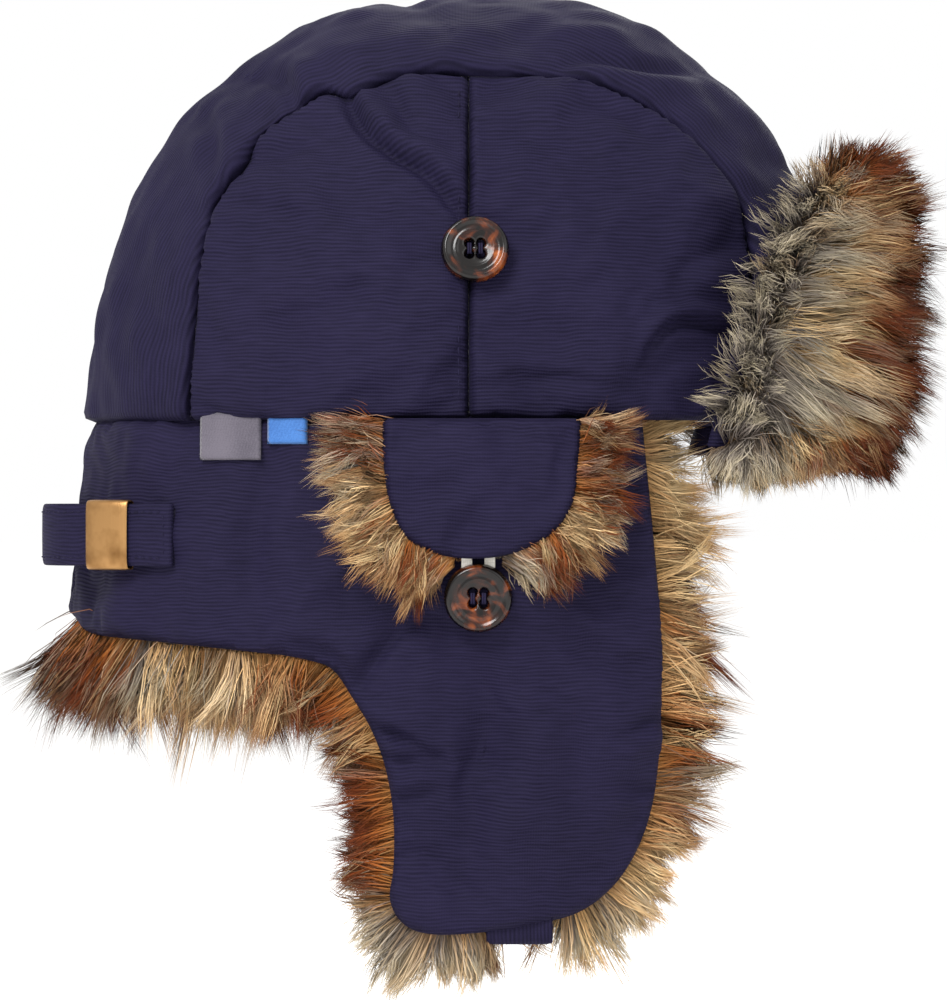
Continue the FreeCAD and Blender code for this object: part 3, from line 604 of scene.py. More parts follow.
def smooth_line(points: list[tuple[float, float]], step: float) -> Array:
    """A smooth line through points, a Catmull-Rom spline.

    Args:
        points: The points in order.
        step: Distance between the samples.

    Returns:
        The samples, with both ends.
    """
    knots = np.array(points, float)
    knots = np.vstack((2 * knots[0] - knots[1], knots, 2 * knots[-1] - knots[-2]))
    samples = []
    for a, b, c, d in zip(knots, knots[1:], knots[2:], knots[3:]):
        count = max(2, int(np.hypot(*(c - b)) / step))
        share = np.linspace(0, 1, count, endpoint=False)[:, None]
        samples.append(
            0.5
            * (
                2 * b
                + (c - a) * share
                + (2 * a - 5 * b + 4 * c - d) * share**2
                + (3 * b - a - 3 * c + d) * share**3
            )
        )
    samples.append(knots[-2][None])
    return np.vstack(samples)


def running(steps: Array) -> Array:
    """The length from the start at each end of steps."""
    return np.concatenate(((0.0,), np.cumsum(steps)))


def oval_lengths(half_length: float, half_width: float, end: float, count: int) -> tuple[Array, Array]:
    """Angles round an oval from one end, up to an angle, and the length round it at each."""
    angles = np.linspace(0, end, count)
    steps = np.hypot(half_length * np.sin(angles), half_width * np.cos(angles)) * (angles[1] - angles[0])
    return angles, running((steps[1:] + steps[:-1]) / 2)


def straight_line(points: list[tuple[float, float]], step: float) -> Array:
    """Samples along straight runs between points, without the last point."""
    samples = []
    for a, b in zip(np.array(points, float), np.array(points[1:], float)):
        count = max(1, int(round(float(np.hypot(*(b - a))) / step)))
        samples.append(a + (b - a) * np.linspace(0, 1, count, endpoint=False)[:, None])
    return np.vstack(samples)


def inside(points: Array, outline: Array) -> Array:
    """Which points lie inside a closed outline."""
    x, y = points[:, :1], points[:, 1:]
    x0, y0 = outline[:, 0], outline[:, 1]
    x1, y1 = np.roll(x0, -1), np.roll(y0, -1)
    rise = np.where(y1 == y0, 1e-12, y1 - y0)
    crossing = ((y0 > y) != (y1 > y)) & (x < (x1 - x0) * (y - y0) / rise + x0)
    return crossing.sum(1) % 2 == 1


def edge_distance(points: Array, outline: Array) -> Array:
    """How far points lie from a closed outline."""
    start, run = outline, np.roll(outline, -1, 0) - outline
    offset = points[:, None] - start
    share = np.clip((offset * run).sum(-1) / np.maximum((run**2).sum(-1), 1e-18), 0, 1)
    return np.sqrt(((offset - run * share[..., None]) ** 2).sum(-1)).min(1)


@dataclass(frozen=True)
class Pattern:
    """A flat cloth pattern, cut into small triangles."""

    points: Array
    faces: Array
    edge: Array

    @classmethod
    def cut(cls, outline: Array, holes: tuple[Array, ...] = (), step: float = 2.4 * MM) -> "Pattern":
        """Cuts a pattern.

        Args:
            outline: The closed outline's points.
            holes: The outlines of holes.
            step: The size of the triangles.

        Returns:
            The pattern, with each point's distance from the nearest edge.
        """
        loops = (outline, *holes)
        low, high = outline.min(0), outline.max(0)
        rows = np.arange(low[1], high[1], step * math.sqrt(3) / 2)
        grid = []
        for row, z in enumerate(rows):
            x = np.arange(low[0] + step / 2 * (row % 2), high[0], step)
            grid.append(np.stack((x, np.full(len(x), z)), -1))
        inner = np.vstack(grid)
        inner = inner[inside(inner, outline)]
        for hole in holes:
            inner = inner[~inside(inner, hole)]
        gap = np.min([edge_distance(inner, loop) for loop in loops], 0)
        inner = inner[gap > step * 0.55]
        edges, first = [], 0
        for loop in loops:
            count = len(loop)
            edges += [(first + at, first + (at + 1) % count) for at in range(count)]
            first += count
        flat = np.vstack((*loops, inner))
        result = delaunay_2d_cdt([Vector(point) for point in flat], edges, [], 0, 1e-7)
        points = np.array([tuple(point) for point in result[0]])
        faces = np.array([face for face in result[2] if len(face) == 3])
        middle = points[faces].mean(1)
        keep = inside(middle, outline)
        for hole in holes:
            keep &= ~inside(middle, hole)
        faces = faces[keep]
        used, faces = np.unique(faces, return_inverse=True)
        points = points[used]
        edge = np.min([edge_distance(points, loop) for loop in loops], 0)
        return cls(points, faces.reshape(-1, 3), np.where(edge < 1e-6, 0.0, edge))


def mesh_piece(name: str, points: Array, faces: Array | list) -> bpy.types.Object:
    """Makes a smooth-shaded mesh piece.

    Args:
        name: The piece's name.
        points: Its vertices.
        faces: Its faces.

    Returns:
        The new object, linked to the scene.
    """
    mesh = bpy.data.meshes.new(name)
    if isinstance(faces, np.ndarray):
        count = faces.shape[1]
        mesh.vertices.add(len(points))
        mesh.vertices.foreach_set("co", np.ascontiguousarray(points, np.float32).ravel())
        mesh.loops.add(faces.size)
        mesh.loops.foreach_set("vertex_index", faces.astype(np.int32).ravel())
        mesh.polygons.add(len(faces))
        mesh.polygons.foreach_set("loop_start", np.arange(0, faces.size, count, dtype=np.int32))
    else:
        mesh.from_pydata([tuple(point) for point in points], [], faces)
    mesh.update(calc_edges=True)
    mesh.polygons.foreach_set("use_smooth", np.ones(len(mesh.polygons), bool))
    piece = bpy.data.objects.new(name, mesh)
    bpy.context.scene.collection.objects.link(piece)
    return piece


def mark(piece: bpy.types.Object, name: str, values: Array, kind: str = "FLOAT_VECTOR") -> None:
    """Stores a value for each vertex of a piece under a name that its finish reads."""
    attribute = piece.data.attributes.new(name, kind, "POINT")
    field = "vector" if kind == "FLOAT_VECTOR" else "color"
    attribute.data.foreach_set(field, np.ascontiguousarray(values, np.float32).ravel())


def facing_out(points: Array, faces: Array, out: Array) -> Array:
    """Turns faces round so that they face along the given directions of their first vertices."""
    a, b, c = (points[faces[:, at]] for at in range(3))
    wrong = (np.cross(b - a, c - a) * out[faces[:, 0]]).sum(1) < 0
    return np.where(wrong[:, None], faces[:, ::-1], faces)


def unit(vectors: Array) -> Array:
    """Vectors of length 1 along the given ones."""
    return vectors / np.maximum(np.linalg.norm(vectors, axis=-1, keepdims=True), 1e-12)


def normals_of(place: Surface, u: Array, v: Array, out: Array) -> Array:
    """Unit normals of a surface that point to the same side as out."""
    step = 0.4 * MM
    across = place(u + step, v) - place(u - step, v)
    along = place(u, v + step) - place(u, v - step)
    normal = unit(np.cross(across, along))
    return np.where(((normal * out).sum(1) < 0)[:, None], -normal, normal)


def towards(place: Surface, flat: Array, way: Array) -> Array:
    """Unit vectors on a surface, from its flat places along flat directions."""
    return unit(place(*(flat + way * MM).T) - place(*flat.T))


def quarter(ways: Array) -> Array:
    """Flat directions, turned a quarter to the left."""
    return np.stack((-ways[:, 1], ways[:, 0]), -1)


@dataclass(frozen=True)
class Padding:
    """How a padded cloth piece is filled: its thickness, its rolled edge and its surface."""

    thickness: float
    roll: float
    relief: Relief | None = None
    depth: float = 0.0

    def sew(
        self,
        name: str,
        pattern: Pattern,
        place: Surface,
        out: Callable[[Array], Array],
    ) -> bpy.types.Object:
        """Sews a closed padded piece over a curved surface.

        Args:
            name: The piece's name.
            pattern: The flat pattern.
            place: Takes the pattern's coordinates to the surface.
            out: Gives a rough outward direction at points of the surface.

        Returns:
            The piece, with the weave attribute.
        """
        u, v = pattern.points.T
        base = place(u, v)
        normal = normals_of(place, u, v, out(base))
        share = np.clip(pattern.edge / self.roll, 0, 1)
        swell = np.sqrt(np.clip(1 - (1 - share) ** 2, 0, 1))
        half = self.thickness / 2
        lift = self.relief(u, v) * np.minimum(1, share * 1.5) if self.relief else 0
        outer = base + normal * (-self.depth - half + half * swell + lift)[:, None]
        inner = base + normal * (-self.depth - half - half * swell)[:, None]
        free = np.flatnonzero(pattern.edge > 0)
        number = np.arange(len(u))
        number[free] = len(u) + np.arange(len(free))
        points = np.vstack((outer, inner[free]))
        front = facing_out(outer, pattern.faces, normal)
        back = number[front][:, ::-1]
        piece = mesh_piece(name, points, np.vstack((front, back)))
        flat = np.stack((u, v, np.zeros_like(u)), -1)
        mark(piece, "weave", np.vstack((flat, flat[free])))
        piece["outer_count"] = len(u)
        return piece


def billow(piece: bpy.types.Object, pressure: float, cap: float, slack: float, frames: int = 14) -> None:
    """Lets a padded piece's outer face billow in a cloth simulation, held by its edge and its inner face.

    Args:
        piece: A piece that Padding.sew made.
        pressure: Pressure of the filling.
        cap: How far a point may move.
        slack: How much larger the cloth is than its place, as a share.
        frames: Length of the simulation.
    """
    count = piece["outer_count"]
    mesh = piece.data
    total = len(mesh.vertices)
    rest = np.empty(total * 3, np.float32)
    mesh.vertices.foreach_get("co", rest)
    rest = rest.reshape(-1, 3)
    held = piece.vertex_groups.new(name="sewn")
    held.add(list(range(count, total)) + sorted(piece_edge(piece)), 1.0, "REPLACE")
    cloth = piece.modifiers.new("billow", "CLOTH")
    settings = cloth.settings
    settings.quality = 6
    settings.mass = 0.15
    settings.tension_stiffness = 12
    settings.compression_stiffness = 12
    settings.shear_stiffness = 6
    settings.bending_stiffness = 0.35
    settings.use_pressure = True
    settings.uniform_pressure_force = pressure
    settings.shrink_min = -slack
    settings.vertex_group_mass = "sewn"
    settings.effector_weights.gravity = 0
    cloth.point_cache.frame_start = 1
    cloth.point_cache.frame_end = frames
    scene = bpy.context.scene
    for number in range(1, frames + 1):
        scene.frame_set(number)
    graph = bpy.context.evaluated_depsgraph_get()
    settled = piece.evaluated_get(graph).to_mesh()
    moved = np.empty(total * 3, np.float32)
    settled.vertices.foreach_get("co", moved)
    moved = moved.reshape(-1, 3) - rest
    piece.modifiers.clear()
    far = np.linalg.norm(moved, axis=1, keepdims=True)
    moved *= np.minimum(1, cap / np.maximum(far, 1e-9))
    mesh.vertices.foreach_set("co", (rest + np.nan_to_num(moved)).ravel())
    mesh.update()
    scene.frame_set(1)


def piece_edge(piece: bpy.types.Object) -> set[int]:
    """The vertices of a sewn piece's edge, which its two faces share."""
    count = piece["outer_count"]
    shared = set()
    for face in piece.data.polygons:
        corners = list(face.vertices)
        if any(at >= count for at in corners):
            shared.update(at for at in corners if at < count)
    return shared


# ---- the hat's surfaces


@dataclass(frozen=True)
class Dome:
    """The crown's outer surface: slices across it are scaled copies of one side profile."""

    half_length: float
    half_width: float
    height: float
    front: float = 2.42
    rear: float = 2.1

    @classmethod
    def from_frame(cls) -> "Dome":
        """Reads the dome's size from the frame."""
        low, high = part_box("crown_centre_band")
        side_low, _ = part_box("crown_side_rear_right")
        return cls((high[0] - low[0]) / 2, -side_low[1], high[2])

    def power(self, x: Array) -> Array:
        """The exponent of the profile, fuller at the front."""
        share = np.clip(x / self.half_length * 0.5 + 0.5, 0, 1)
        return self.rear + (self.front - self.rear) * share * share * (3 - 2 * share)

    def level(self, x: Array, z: Array) -> Array:
        """The scale of the slice that passes over a place in side view."""
        n = self.power(x)
        return ((np.abs(x) / self.half_length) ** n + (np.abs(z) / self.height) ** n) ** (1 / n)

    def side(self, x: Array, z: Array, sign: int) -> Array:
        """Points of one side, over places in side view; below the lower edge the side runs straight down."""
        level = np.clip(self.level(x, np.maximum(z, 0)), 0, 0.9999)
        y = sign * self.half_width * np.sqrt(1 - level**2)
        return np.stack((x, y, z), -1)

    def across(self, direction: Array, y: Array) -> Array:
        """Points over the top: along a side-view direction, at a distance from the middle plane."""
        unit_level = self.level(direction[:, 0], direction[:, 1])
        scale = np.sqrt(np.clip(1 - (y / self.half_width) ** 2, 0, 1)) / unit_level
        return np.stack((direction[:, 0] * scale, y, direction[:, 1] * scale), -1)


@dataclass(frozen=True)
class Wall:
    """The outer wall of the curtain and the ear flaps: an oval that widens to the hem, then draws in."""

    top: tuple[float, float] = (123.0 * MM, 88.0 * MM)
    hem: tuple[float, float] = (131.0 * MM, 93.7 * MM)
    tip: tuple[float, float] = (126.5 * MM, 89.0 * MM)
    hem_z: float = -75.5 * MM
    tip_z: float = -178.0 * MM

    def ovals(self, z: Array) -> tuple[Array, Array]:
        """Half length and half width of the oval at heights."""
        levels = (self.tip_z, self.hem_z, 0.0)
        return tuple(np.interp(z, levels, (self.tip[at], self.hem[at], self.top[at])) for at in range(2))

    def angle_at(self, x: Array) -> Array:
        """Angle round the oval, from the back, of a place in side view."""
        return np.arccos(np.clip(-np.asarray(x) / self.hem[0], -1, 1))

    def run_at(self, x: Array) -> Array:
        """Length round the wall, from the centre back, of a place in side view."""
        angles, lengths = oval_lengths(*self.hem, math.pi, 721)
        return np.interp(self.angle_at(x), angles, lengths)

    def angle_of_run(self, run: Array) -> Array:
        """Angle round the oval of a length round the wall."""
        angles, lengths = oval_lengths(*self.hem, math.pi, 721)
        return np.interp(run, lengths, angles)

    def place(self, sign: int) -> Surface:
        """The function from (run, z) to points of one side's wall."""

        def at(run: Array, z: Array) -> Array:
            angle = self.angle_of_run(run)
            angle = np.where(run < 0, -self.angle_of_run(-run), angle)
            length, width = self.ovals(z)
            return np.stack((-length * np.cos(angle), sign * width * np.sin(angle), z), -1)

        return at


def outwards(points: Array) -> Array:
    """A rough outward direction: level, away from the hat's upright axis."""
    return unit(points * np.array((1.0, 1.9, 0.0)))


# ---- fur


@dataclass(frozen=True)
class Hairs:
    """Where hairs grow: their roots, directions and lengths, and which way is out of the fur there."""

    roots: Array
    directions: Array
    lengths: Array
    outs: Array

    @classmethod
    def together(cls, groups: list["Hairs"]) -> "Hairs":
        """Joins several groups."""
        names = [field.name for field in fields(cls)]
        return cls(*(np.concatenate([getattr(group, name) for group in groups]) for name in names))

    def only(self, keep: Array) -> "Hairs":
        """The hairs that are kept."""
        return Hairs(*(getattr(self, field.name)[keep] for field in fields(self)))


@dataclass(frozen=True)
class Dye:
    """The fur's printed patches: how rust-brown and how grey it is in places."""

    spots: tuple[tuple[float, float, float, float, float], ...]
    patch: float = 26 * MM
    seed: int = 3

    def cloud(self, points: Array, seed: int) -> Array:
        """Soft random patches, from 0 to 1."""
        rng = np.random.default_rng(seed)
        total = np.zeros(len(points))
        for _ in range(26):
            wave = unit(rng.normal(0, 1, 3)) * 2 * math.pi / (self.patch * rng.uniform(0.8, 2.4))
            total += np.sin(points @ wave + rng.uniform(0, 2 * math.pi))
        return 0.5 + 0.5 * np.tanh(total / 3.2)

    def at(self, points: Array) -> Array:
        """Rust and grey shares at points: the random patches, pulled towards the spots that are near.

        Args:
            points: Places on the hat.

        Returns:
            Two columns of shares.
        """
        rust = 0.9 * self.cloud(points, self.seed) - 0.12
        grey = 1.1 * self.cloud(points, self.seed + 1) - 0.5
        weight = np.full(len(points), 0.45)
        rust, grey = rust * weight, grey * weight
        for x, z, radius, spot_rust, spot_grey in self.spots:
            gap = ((points[:, 0] - x * MM) ** 2 + (points[:, 2] - z * MM) ** 2) / (radius * MM) ** 2
            near = 2.4 * np.exp(-gap)
            rust, grey, weight = rust + near * spot_rust, grey + near * spot_grey, weight + near
        return np.clip(np.stack((rust / weight, grey / weight), -1), 0, 1)


@dataclass(frozen=True)
class Pile:
    """Long fur whose hairs gather in tapering locks."""

    seed: int
    dye: Dye
    per_lock: int = 44
    gather: float = 0.72
    width: float = 0.3 * MM
    droop: float = 0.16
    wave: float = 1.5 * MM
    print_edge: float = 0.42
    print_blur: float = 0.5
    uneven: float = 0.15
    spread: float = 0.27
    bend: float = 0.26
    shear_low: tuple[float, float, float] = (-154.5 * MM, -117.5 * MM, -190.0 * MM)
    shear_high: tuple[float, float, float] = (171.5 * MM, 117.5 * MM, 150.0 * MM)

    def nearest(self, points: Array, centres: Array) -> Array:
        """The number of the nearest centre to each point."""
        found = np.empty(len(points), int)
        for first in range(0, len(points), 4000):
            block = points[first:first + 4000]
            gaps = ((block[:, None] - centres[None]) ** 2).sum(-1)
            found[first:first + 4000] = gaps.argmin(1)
        return found

    def sheared(self, roots: Array, tips: Array) -> Array:
        """How much of each hair is left when the fur is sheared to its limits."""
        reach = np.where(np.abs(tips - roots) < 1e-9, 1e-9, tips - roots)
        bound = np.where(reach > 0, np.array(self.shear_high), np.array(self.shear_low))
        return np.clip(((bound - roots) / reach).min(1, keepdims=True), 0.05, 1.0)

    def grow(self, name: str, hairs: Hairs, backing: tuple[Array, Array] | None = None) -> bpy.types.Object:
        """Grows the hairs as tapered ribbons on an optional backing.

        Args:
            name: The piece's name.
            hairs: Where they grow.
            backing: Vertices and triangles of the knitted backing.

        Returns:
            The piece, with the pile attribute: root to tip, hair and lock.
        """
        rng = np.random.default_rng(self.seed)
        count = len(hairs.roots)
        middle = hairs.roots + hairs.directions * hairs.lengths[:, None] * 0.35
        seeds = rng.choice(count, max(2, count // self.per_lock), replace=False)
        lock = self.nearest(middle, middle[seeds])
        lock_direction = unit(hairs.directions[seeds] + rng.normal(0, self.spread, (len(seeds), 3)))
        lock_scale = rng.uniform(1 - 1.6 * self.uneven, 1 + 0.7 * self.uneven, len(seeds))
        stray = rng.random(count) < 0.06
        gather = np.where(stray, 0.1, self.gather * rng.uniform(0.7, 1.0, count))[:, None]
        own = unit(hairs.directions + rng.normal(0, np.where(stray, 0.3, 0.1)[:, None], (count, 3)))
        length = (hairs.lengths * lock_scale[lock] * rng.uniform(0.78, 1.08, count))[:, None]
        lock_root = hairs.roots[seeds][lock]
        bend = rng.normal(0, self.bend, (len(seeds), 3))[lock]
        sway = unit(np.cross(own, rng.normal(0, 1, (count, 3))))
        side = unit(np.cross(own, rng.normal(0, 1, (count, 3))))
        phase = rng.uniform(0, 2 * math.pi, (count, 1))
        lines = []
        shares = (0.0, 0.4, 0.75, 1.0)
        for share in shares:
            straight = hairs.roots + own * length * share
            guide = lock_root + (lock_direction[lock] + bend * share) * length * share
            pull = gather * share**1.2
            line = straight * (1 - pull) + guide * pull
            line = line + sway * np.sin(phase + share * 4.6) * self.wave * share
            line[:, 2] -= self.droop * length[:, 0] * share**2
            lines.append(line)
        kept = self.sheared(hairs.roots, lines[-1])
        rows = []
        for share, line in zip(shares, lines):
            line = hairs.roots + (line - hairs.roots) * kept
            half = self.width / 2 * (1.0 - 0.15 * share) * rng.uniform(0.7, 1.2, (count, 1))
            rows += [line] if share == 1.0 else [line - side * half, line + side * half]
        per = len(rows)
        points = np.stack(rows, 1).reshape(-1, 3)
        cell = []
        for at in range(0, per - 3, 2):
            cell += [(at, at + 1, at + 3), (at, at + 3, at + 2)]
        cell.append((per - 3, per - 2, per - 1))
        faces = (np.array(cell)[None] + (np.arange(count) * per)[:, None, None]).reshape(-1, 3)
        along = np.array([share for share in shares[:-1] for _ in range(2)] + [1.0])
        tone = np.empty((count, per, 4), np.float32)
        tone[..., 0] = along
        tone[..., 1] = rng.random((count, 1))
        tone[..., 2] = rng.random(len(seeds))[lock][:, None]
        tone[..., 3] = 1.0
        tone = tone.reshape(-1, 4)
        spread = rng.normal(0, 0.16, (len(seeds), 2))[lock] + rng.normal(0, 0.06, (count, 2))
        share = self.dye.at(middle) + spread
        share = np.clip((share - self.print_edge) / self.print_blur + 0.5, 0, 1)
        dyed = np.ones((count, per, 4), np.float32)
        dyed[..., :2] = share[:, None]
        dyed = dyed.reshape(-1, 4)
        tilt = rng.normal(0, 0.4, (len(seeds), 3))[lock]
        out = np.repeat(unit(hairs.outs + own * 0.35 + tilt), per, 0)
        if backing is not None:
            out = np.vstack((out, outwards(backing[0])))
            faces = np.vstack((faces, backing[1] + len(points)))
            points = np.vstack((points, backing[0]))
            plain = np.tile(np.array((0.1, 0.1, 0.5, 1.0), np.float32), (len(backing[0]), 1))
            tone = np.vstack((tone, plain))
            dyed = np.vstack((dyed, plain))
        piece = mesh_piece(name, points, faces)
        mark(piece, "pile", tone, "FLOAT_COLOR")
        mark(piece, "dye", dyed, "FLOAT_COLOR")
        mark(piece, "outward", out)
        return piece


def scatter(rng: np.random.Generator, outline: Array, count: int, holes: tuple[Array, ...] = ()) -> Array:
    """Random places inside an outline and outside its holes."""
    low, high = outline.min(0), outline.max(0)
    found = np.empty((0, 2))
    while len(found) < count:
        tries = rng.uniform(low, high, (count, 2))
        keep = inside(tries, outline)
        for hole in holes:
            keep &= ~inside(tries, hole)
        found = np.vstack((found, tries[keep]))
    return found[:count]


def along_line(rng: np.random.Generator, line: Array, count: int) -> tuple[Array, Array, Array]:
    """Random places along an open line.

    Args:
        rng: The random numbers.
        line: The line's points.
        count: How many places.

    Returns:
        The places, the unit vectors to the right of the line there, and each place's share of its length.
    """
    steps = np.diff(line, axis=0)
    lengths = np.hypot(*steps.T)
    ends = running(lengths)
    spot = rng.uniform(0, ends[-1], count)
    at = np.clip(np.searchsorted(ends, spot) - 1, 0, len(steps) - 1)
    share = ((spot - ends[at]) / np.maximum(lengths[at], 1e-9))[:, None]
    places = line[at] + steps[at] * share
    padded = [np.pad(steps[:, i], 4, "edge") for i in range(2)]
    smooth = np.stack([np.convolve(row, np.ones(9) / 9, "valid") for row in padded], -1)
    forward = unit(smooth[at])
    return places, np.stack((forward[:, 1], -forward[:, 0]), -1), spot / ends[-1]


def closed_shell(pattern: Pattern, place: Surface, depth: float, thickness: float) -> tuple[Array, Array]:
    """Vertices and triangles of a thin closed layer at a depth behind a surface."""
    u, v = pattern.points.T
    base = place(u, v)
    normal = normals_of(place, u, v, outwards(base))
    edge = np.where(pattern.edge > 0, 0.5, 0.0)[:, None] * thickness
    middle = base - normal * (depth + thickness / 2)
    points = np.vstack((middle + normal * edge, middle - normal * edge))
    front = facing_out(base, pattern.faces, normal)
    return points, np.vstack((front, front[:, ::-1] + len(u)))


# ---- crown


@dataclass
class Crown:
    """The crown: a centre band over the top and two side panels on each side, with stitched seams."""

    finishes: Finishes
    dome: Dome
    side_seam: float = 1.5 * MM
    seam_gap: float = 0.05 * MM
    stitch: float = 3.4 * MM
    edge_drop: float = 1.5 * MM
    thickness: float = 3.4 * MM
    roll: float = 2.9 * MM
    stand: float = 1.5 * MM
    lift: float = 1.2 * MM
    step: float = 1.8 * MM
    seam_points: tuple[tuple[float, float], ...] = (
        (-87.5, 0), (-86.6, 20), (-84, 46), (-79, 68), (-70, 80), (-65, 90), (-54.5, 98), (-44, 103.6),
        (-36, 102), (-20, 107.6), (-1, 109.3), (28, 108.4), (46, 104), (64, 95.5), (77, 83.5), (87, 69.5),
        (91.5, 53), (91, 38), (89.5, 20), (89, 0),
    )

    def seam(self, count: int) -> Array:
        """The side panel's seam in side view, from its rear foot over the top to its front foot."""
        line = smooth_line([(x * MM, z * MM) for x, z in self.seam_points], 0.5 * MM)
        return line[np.linspace(0, len(line) - 1, count).astype(int)]

    def upper_seam(self) -> Array:
        """The seam over the top, where each place from rear to front has one height."""
        line = self.seam(901)
        return line[line[:, 1] > 90 * MM]

    def relief(self, seed: int, creases: tuple[Crease, ...]) -> Relief:
        """The surface of a panel: broad swells, fine unevenness and its own creases."""
        waves = (Ripples(seed, 24 * MM, 70 * MM, 2.2 * MM), Ripples(seed + 1, 8 * MM, 20 * MM, 0.55 * MM))
        return uneven(waves, creases, lambda u, v: self.lift)

    def build(self) -> None:
        """Builds the panels, the seams and the dressed inner layers."""
        for side in Side:
            self.build_side(side, front=False)
            self.build_side(side, front=True)
            self.build_side_seam(side)
        self.build_band()
        self.finishes.dress_node("crown_wadding", Material.WADDING)
        self.finishes.dress_node("crown_lining", Material.LINING)
        self.finishes.dress_node("sweatband", Material.SWEATBAND)

    def build_side(self, side: Side, front: bool) -> None:
        """Builds one side panel from the side seam to the band's seam."""
        line = self.seam(901)
        seam_x = self.side_seam + (self.seam_gap if front else -self.seam_gap)
        line = line[line[:, 0] > seam_x if front else line[:, 0] < seam_x]
        top = (seam_x, float(np.interp(seam_x, *self.upper_seam().T)))
        foot = (seam_x, -self.edge_drop)
        outer_foot = (float(line[-1 if front else 0, 0]), -self.edge_drop)
        if front:
            arc = straight_line([top, *map(tuple, line[::7]), outer_foot], self.step)
            closing = straight_line([outer_foot, foot, top], self.step)
        else:
            arc = straight_line([outer_foot, *map(tuple, line[::7]), top], self.step)
            closing = straight_line([top, foot, outer_foot], self.step)
        pattern = Pattern.cut(np.vstack((arc, closing)), step=self.step)
        rear_creases = (
            Crease(((-42, 110), (-32, 91), (-24, 83), (-12, 75), (0, 62)), 5.2 * MM, 2.3 * MM),
            Crease(((-72, 77), (-60, 84), (-50, 86), (-38, 79)), 2.0 * MM, 3.0 * MM, -0.6),
            Crease(((-76, 70), (-62, 66), (-47, 56)), 1.5 * MM, 4.0 * MM),
            Crease(((-30, 108), (-22, 98), (-16, 84)), 1.7 * MM, 3.4 * MM),
            Crease(((-60, 30), (-40, 36), (-18, 30)), 1.0 * MM, 6.0 * MM),
        )
        front_creases = (
            Crease(((57, 20), (63, 27.5), (71, 29), (84, 26)), 4.2 * MM, 1.8 * MM, 0.8),
            Crease(((92, 56), (78, 52), (66, 44)), 2.0 * MM, 3.0 * MM),
            Crease(((8, 9), (30, 11), (58, 6)), 1.5 * MM, 2.4 * MM),
            Crease(((22, 109), (40, 99), (62, 88)), 1.6 * MM, 3.6 * MM),
            Crease(((24, 60), (44, 56), (64, 62)), 1.1 * MM, 7.0 * MM),
        )
        creases = front_creases if front else rear_creases
        place_word = "front" if front else "rear"
        seed = 31 + 2 * (side is Side.LEFT) + (9 if front else 0)
        padding = Padding(self.thickness, self.roll, self.relief(seed, creases), depth=-self.stand)

        def place(u: Array, v: Array) -> Array:
            return self.dome.side(u, v, side.sign)

        def out(points: Array) -> Array:
            return unit(points + np.array((0.0, side.sign * 0.02, 0.0)))

        name = f"crown_side_{place_word}_{side.word}"
        piece = padding.sew(f"{name}_cloth", pattern, place, out)
        billow(piece, 2.5, 2.5 * MM, 0.02)
        self.finishes.hand_over(piece, Material.CLOTH, (name,), "crown", 0.35)

    def build_band(self) -> None:
        """Builds the centre band as a grid from seam to seam, rear to front."""
        rows, columns = 230, 72
        line = self.seam(901)
        length = running(np.hypot(*np.diff(line, axis=0).T))
        even = np.linspace(0, length[-1], rows)
        line = np.stack([np.interp(even, length, line[:, at]) for at in range(2)], -1)
        line = np.vstack(((line[0, 0], -self.edge_drop), line, (line[-1, 0], -self.edge_drop)))
        run = running(np.hypot(*np.diff(line, axis=0).T))
        side = np.linspace(-1, 1, columns)
        seam_y = self.dome.side(line[:, 0], line[:, 1], 1)[:, 1] - self.seam_gap
        grid_y = (seam_y[:, None] * side[None]).ravel()
        raised = np.maximum(line[:, 1], 0)
        direction = np.repeat(np.stack((line[:, 0], raised), -1), columns, 0)
        base = self.dome.across(direction, grid_y)
        drop = np.repeat(np.minimum(line[:, 1], 0), columns)
        base[:, 2] += drop
        along = np.repeat(run, columns)
        out = unit(base / np.array((self.dome.half_length, self.dome.half_width, self.dome.height)) ** 2)
        to_seam = (np.repeat(seam_y, columns) - np.abs(grid_y)) * 1.25
        to_foot = np.minimum(along, run[-1] - along)
        edge = np.minimum(to_seam, to_foot)
        share = np.clip(edge / self.roll, 0, 1)
        swell = np.sqrt(1 - (1 - share) ** 2)
        relief = self.relief(77, (
            Crease(((-58, 108), (-42, 112), (-26, 106)), 3.4 * MM, 3.0 * MM),
            Crease(((-52, 196), (-44, 204), (-38, 220), (-26, 232)), 4.0 * MM, 3.2 * MM),
            Crease(((-50, 76), (-38, 84), (-24, 86)), 2.6 * MM, 3.4 * MM),
            Crease(((50, 190), (38, 202), (30, 222)), 3.4 * MM, 3.2 * MM),
            Crease(((54, 100), (40, 96), (24, 104)), 3.0 * MM, 3.2 * MM),
            Crease(((-30, 160), (-6, 152), (20, 158)), 2.0 * MM, 5.0 * MM),
        ))(grid_y, along)
        half = self.thickness / 2
        lift = self.stand - half
        outer = base + out * (lift + half * swell + relief * np.minimum(1, share * 1.5))[:, None]
        inner = base + out * (lift - half * swell)[:, None]
        quads = []
        total = (rows + 2) * columns
        for row in range(rows + 1):
            for column in range(columns - 1):
                at = row * columns + column
                quads.append((at, at + 1, at + columns + 1, at + columns))
        back = [tuple(total + at for at in reversed(quad)) for quad in quads]
        rim = []
        loop = (
            list(range(columns))
            + [row * columns + columns - 1 for row in range(1, rows + 2)]
            + [(rows + 1) * columns + column for column in range(columns - 2, -1, -1)]
            + [row * columns for row in range(rows, 0, -1)]
        )
        for first, second in zip(loop, loop[1:] + loop[:1]):
            rim.append((second, first, total + first, total + second))
        piece = mesh_piece("crown_centre_band_cloth", np.vstack((outer, inner)), quads + back + rim)
        flat = np.stack((along, grid_y, np.zeros_like(along)), -1)
        mark(piece, "weave", np.vstack((flat, flat)))
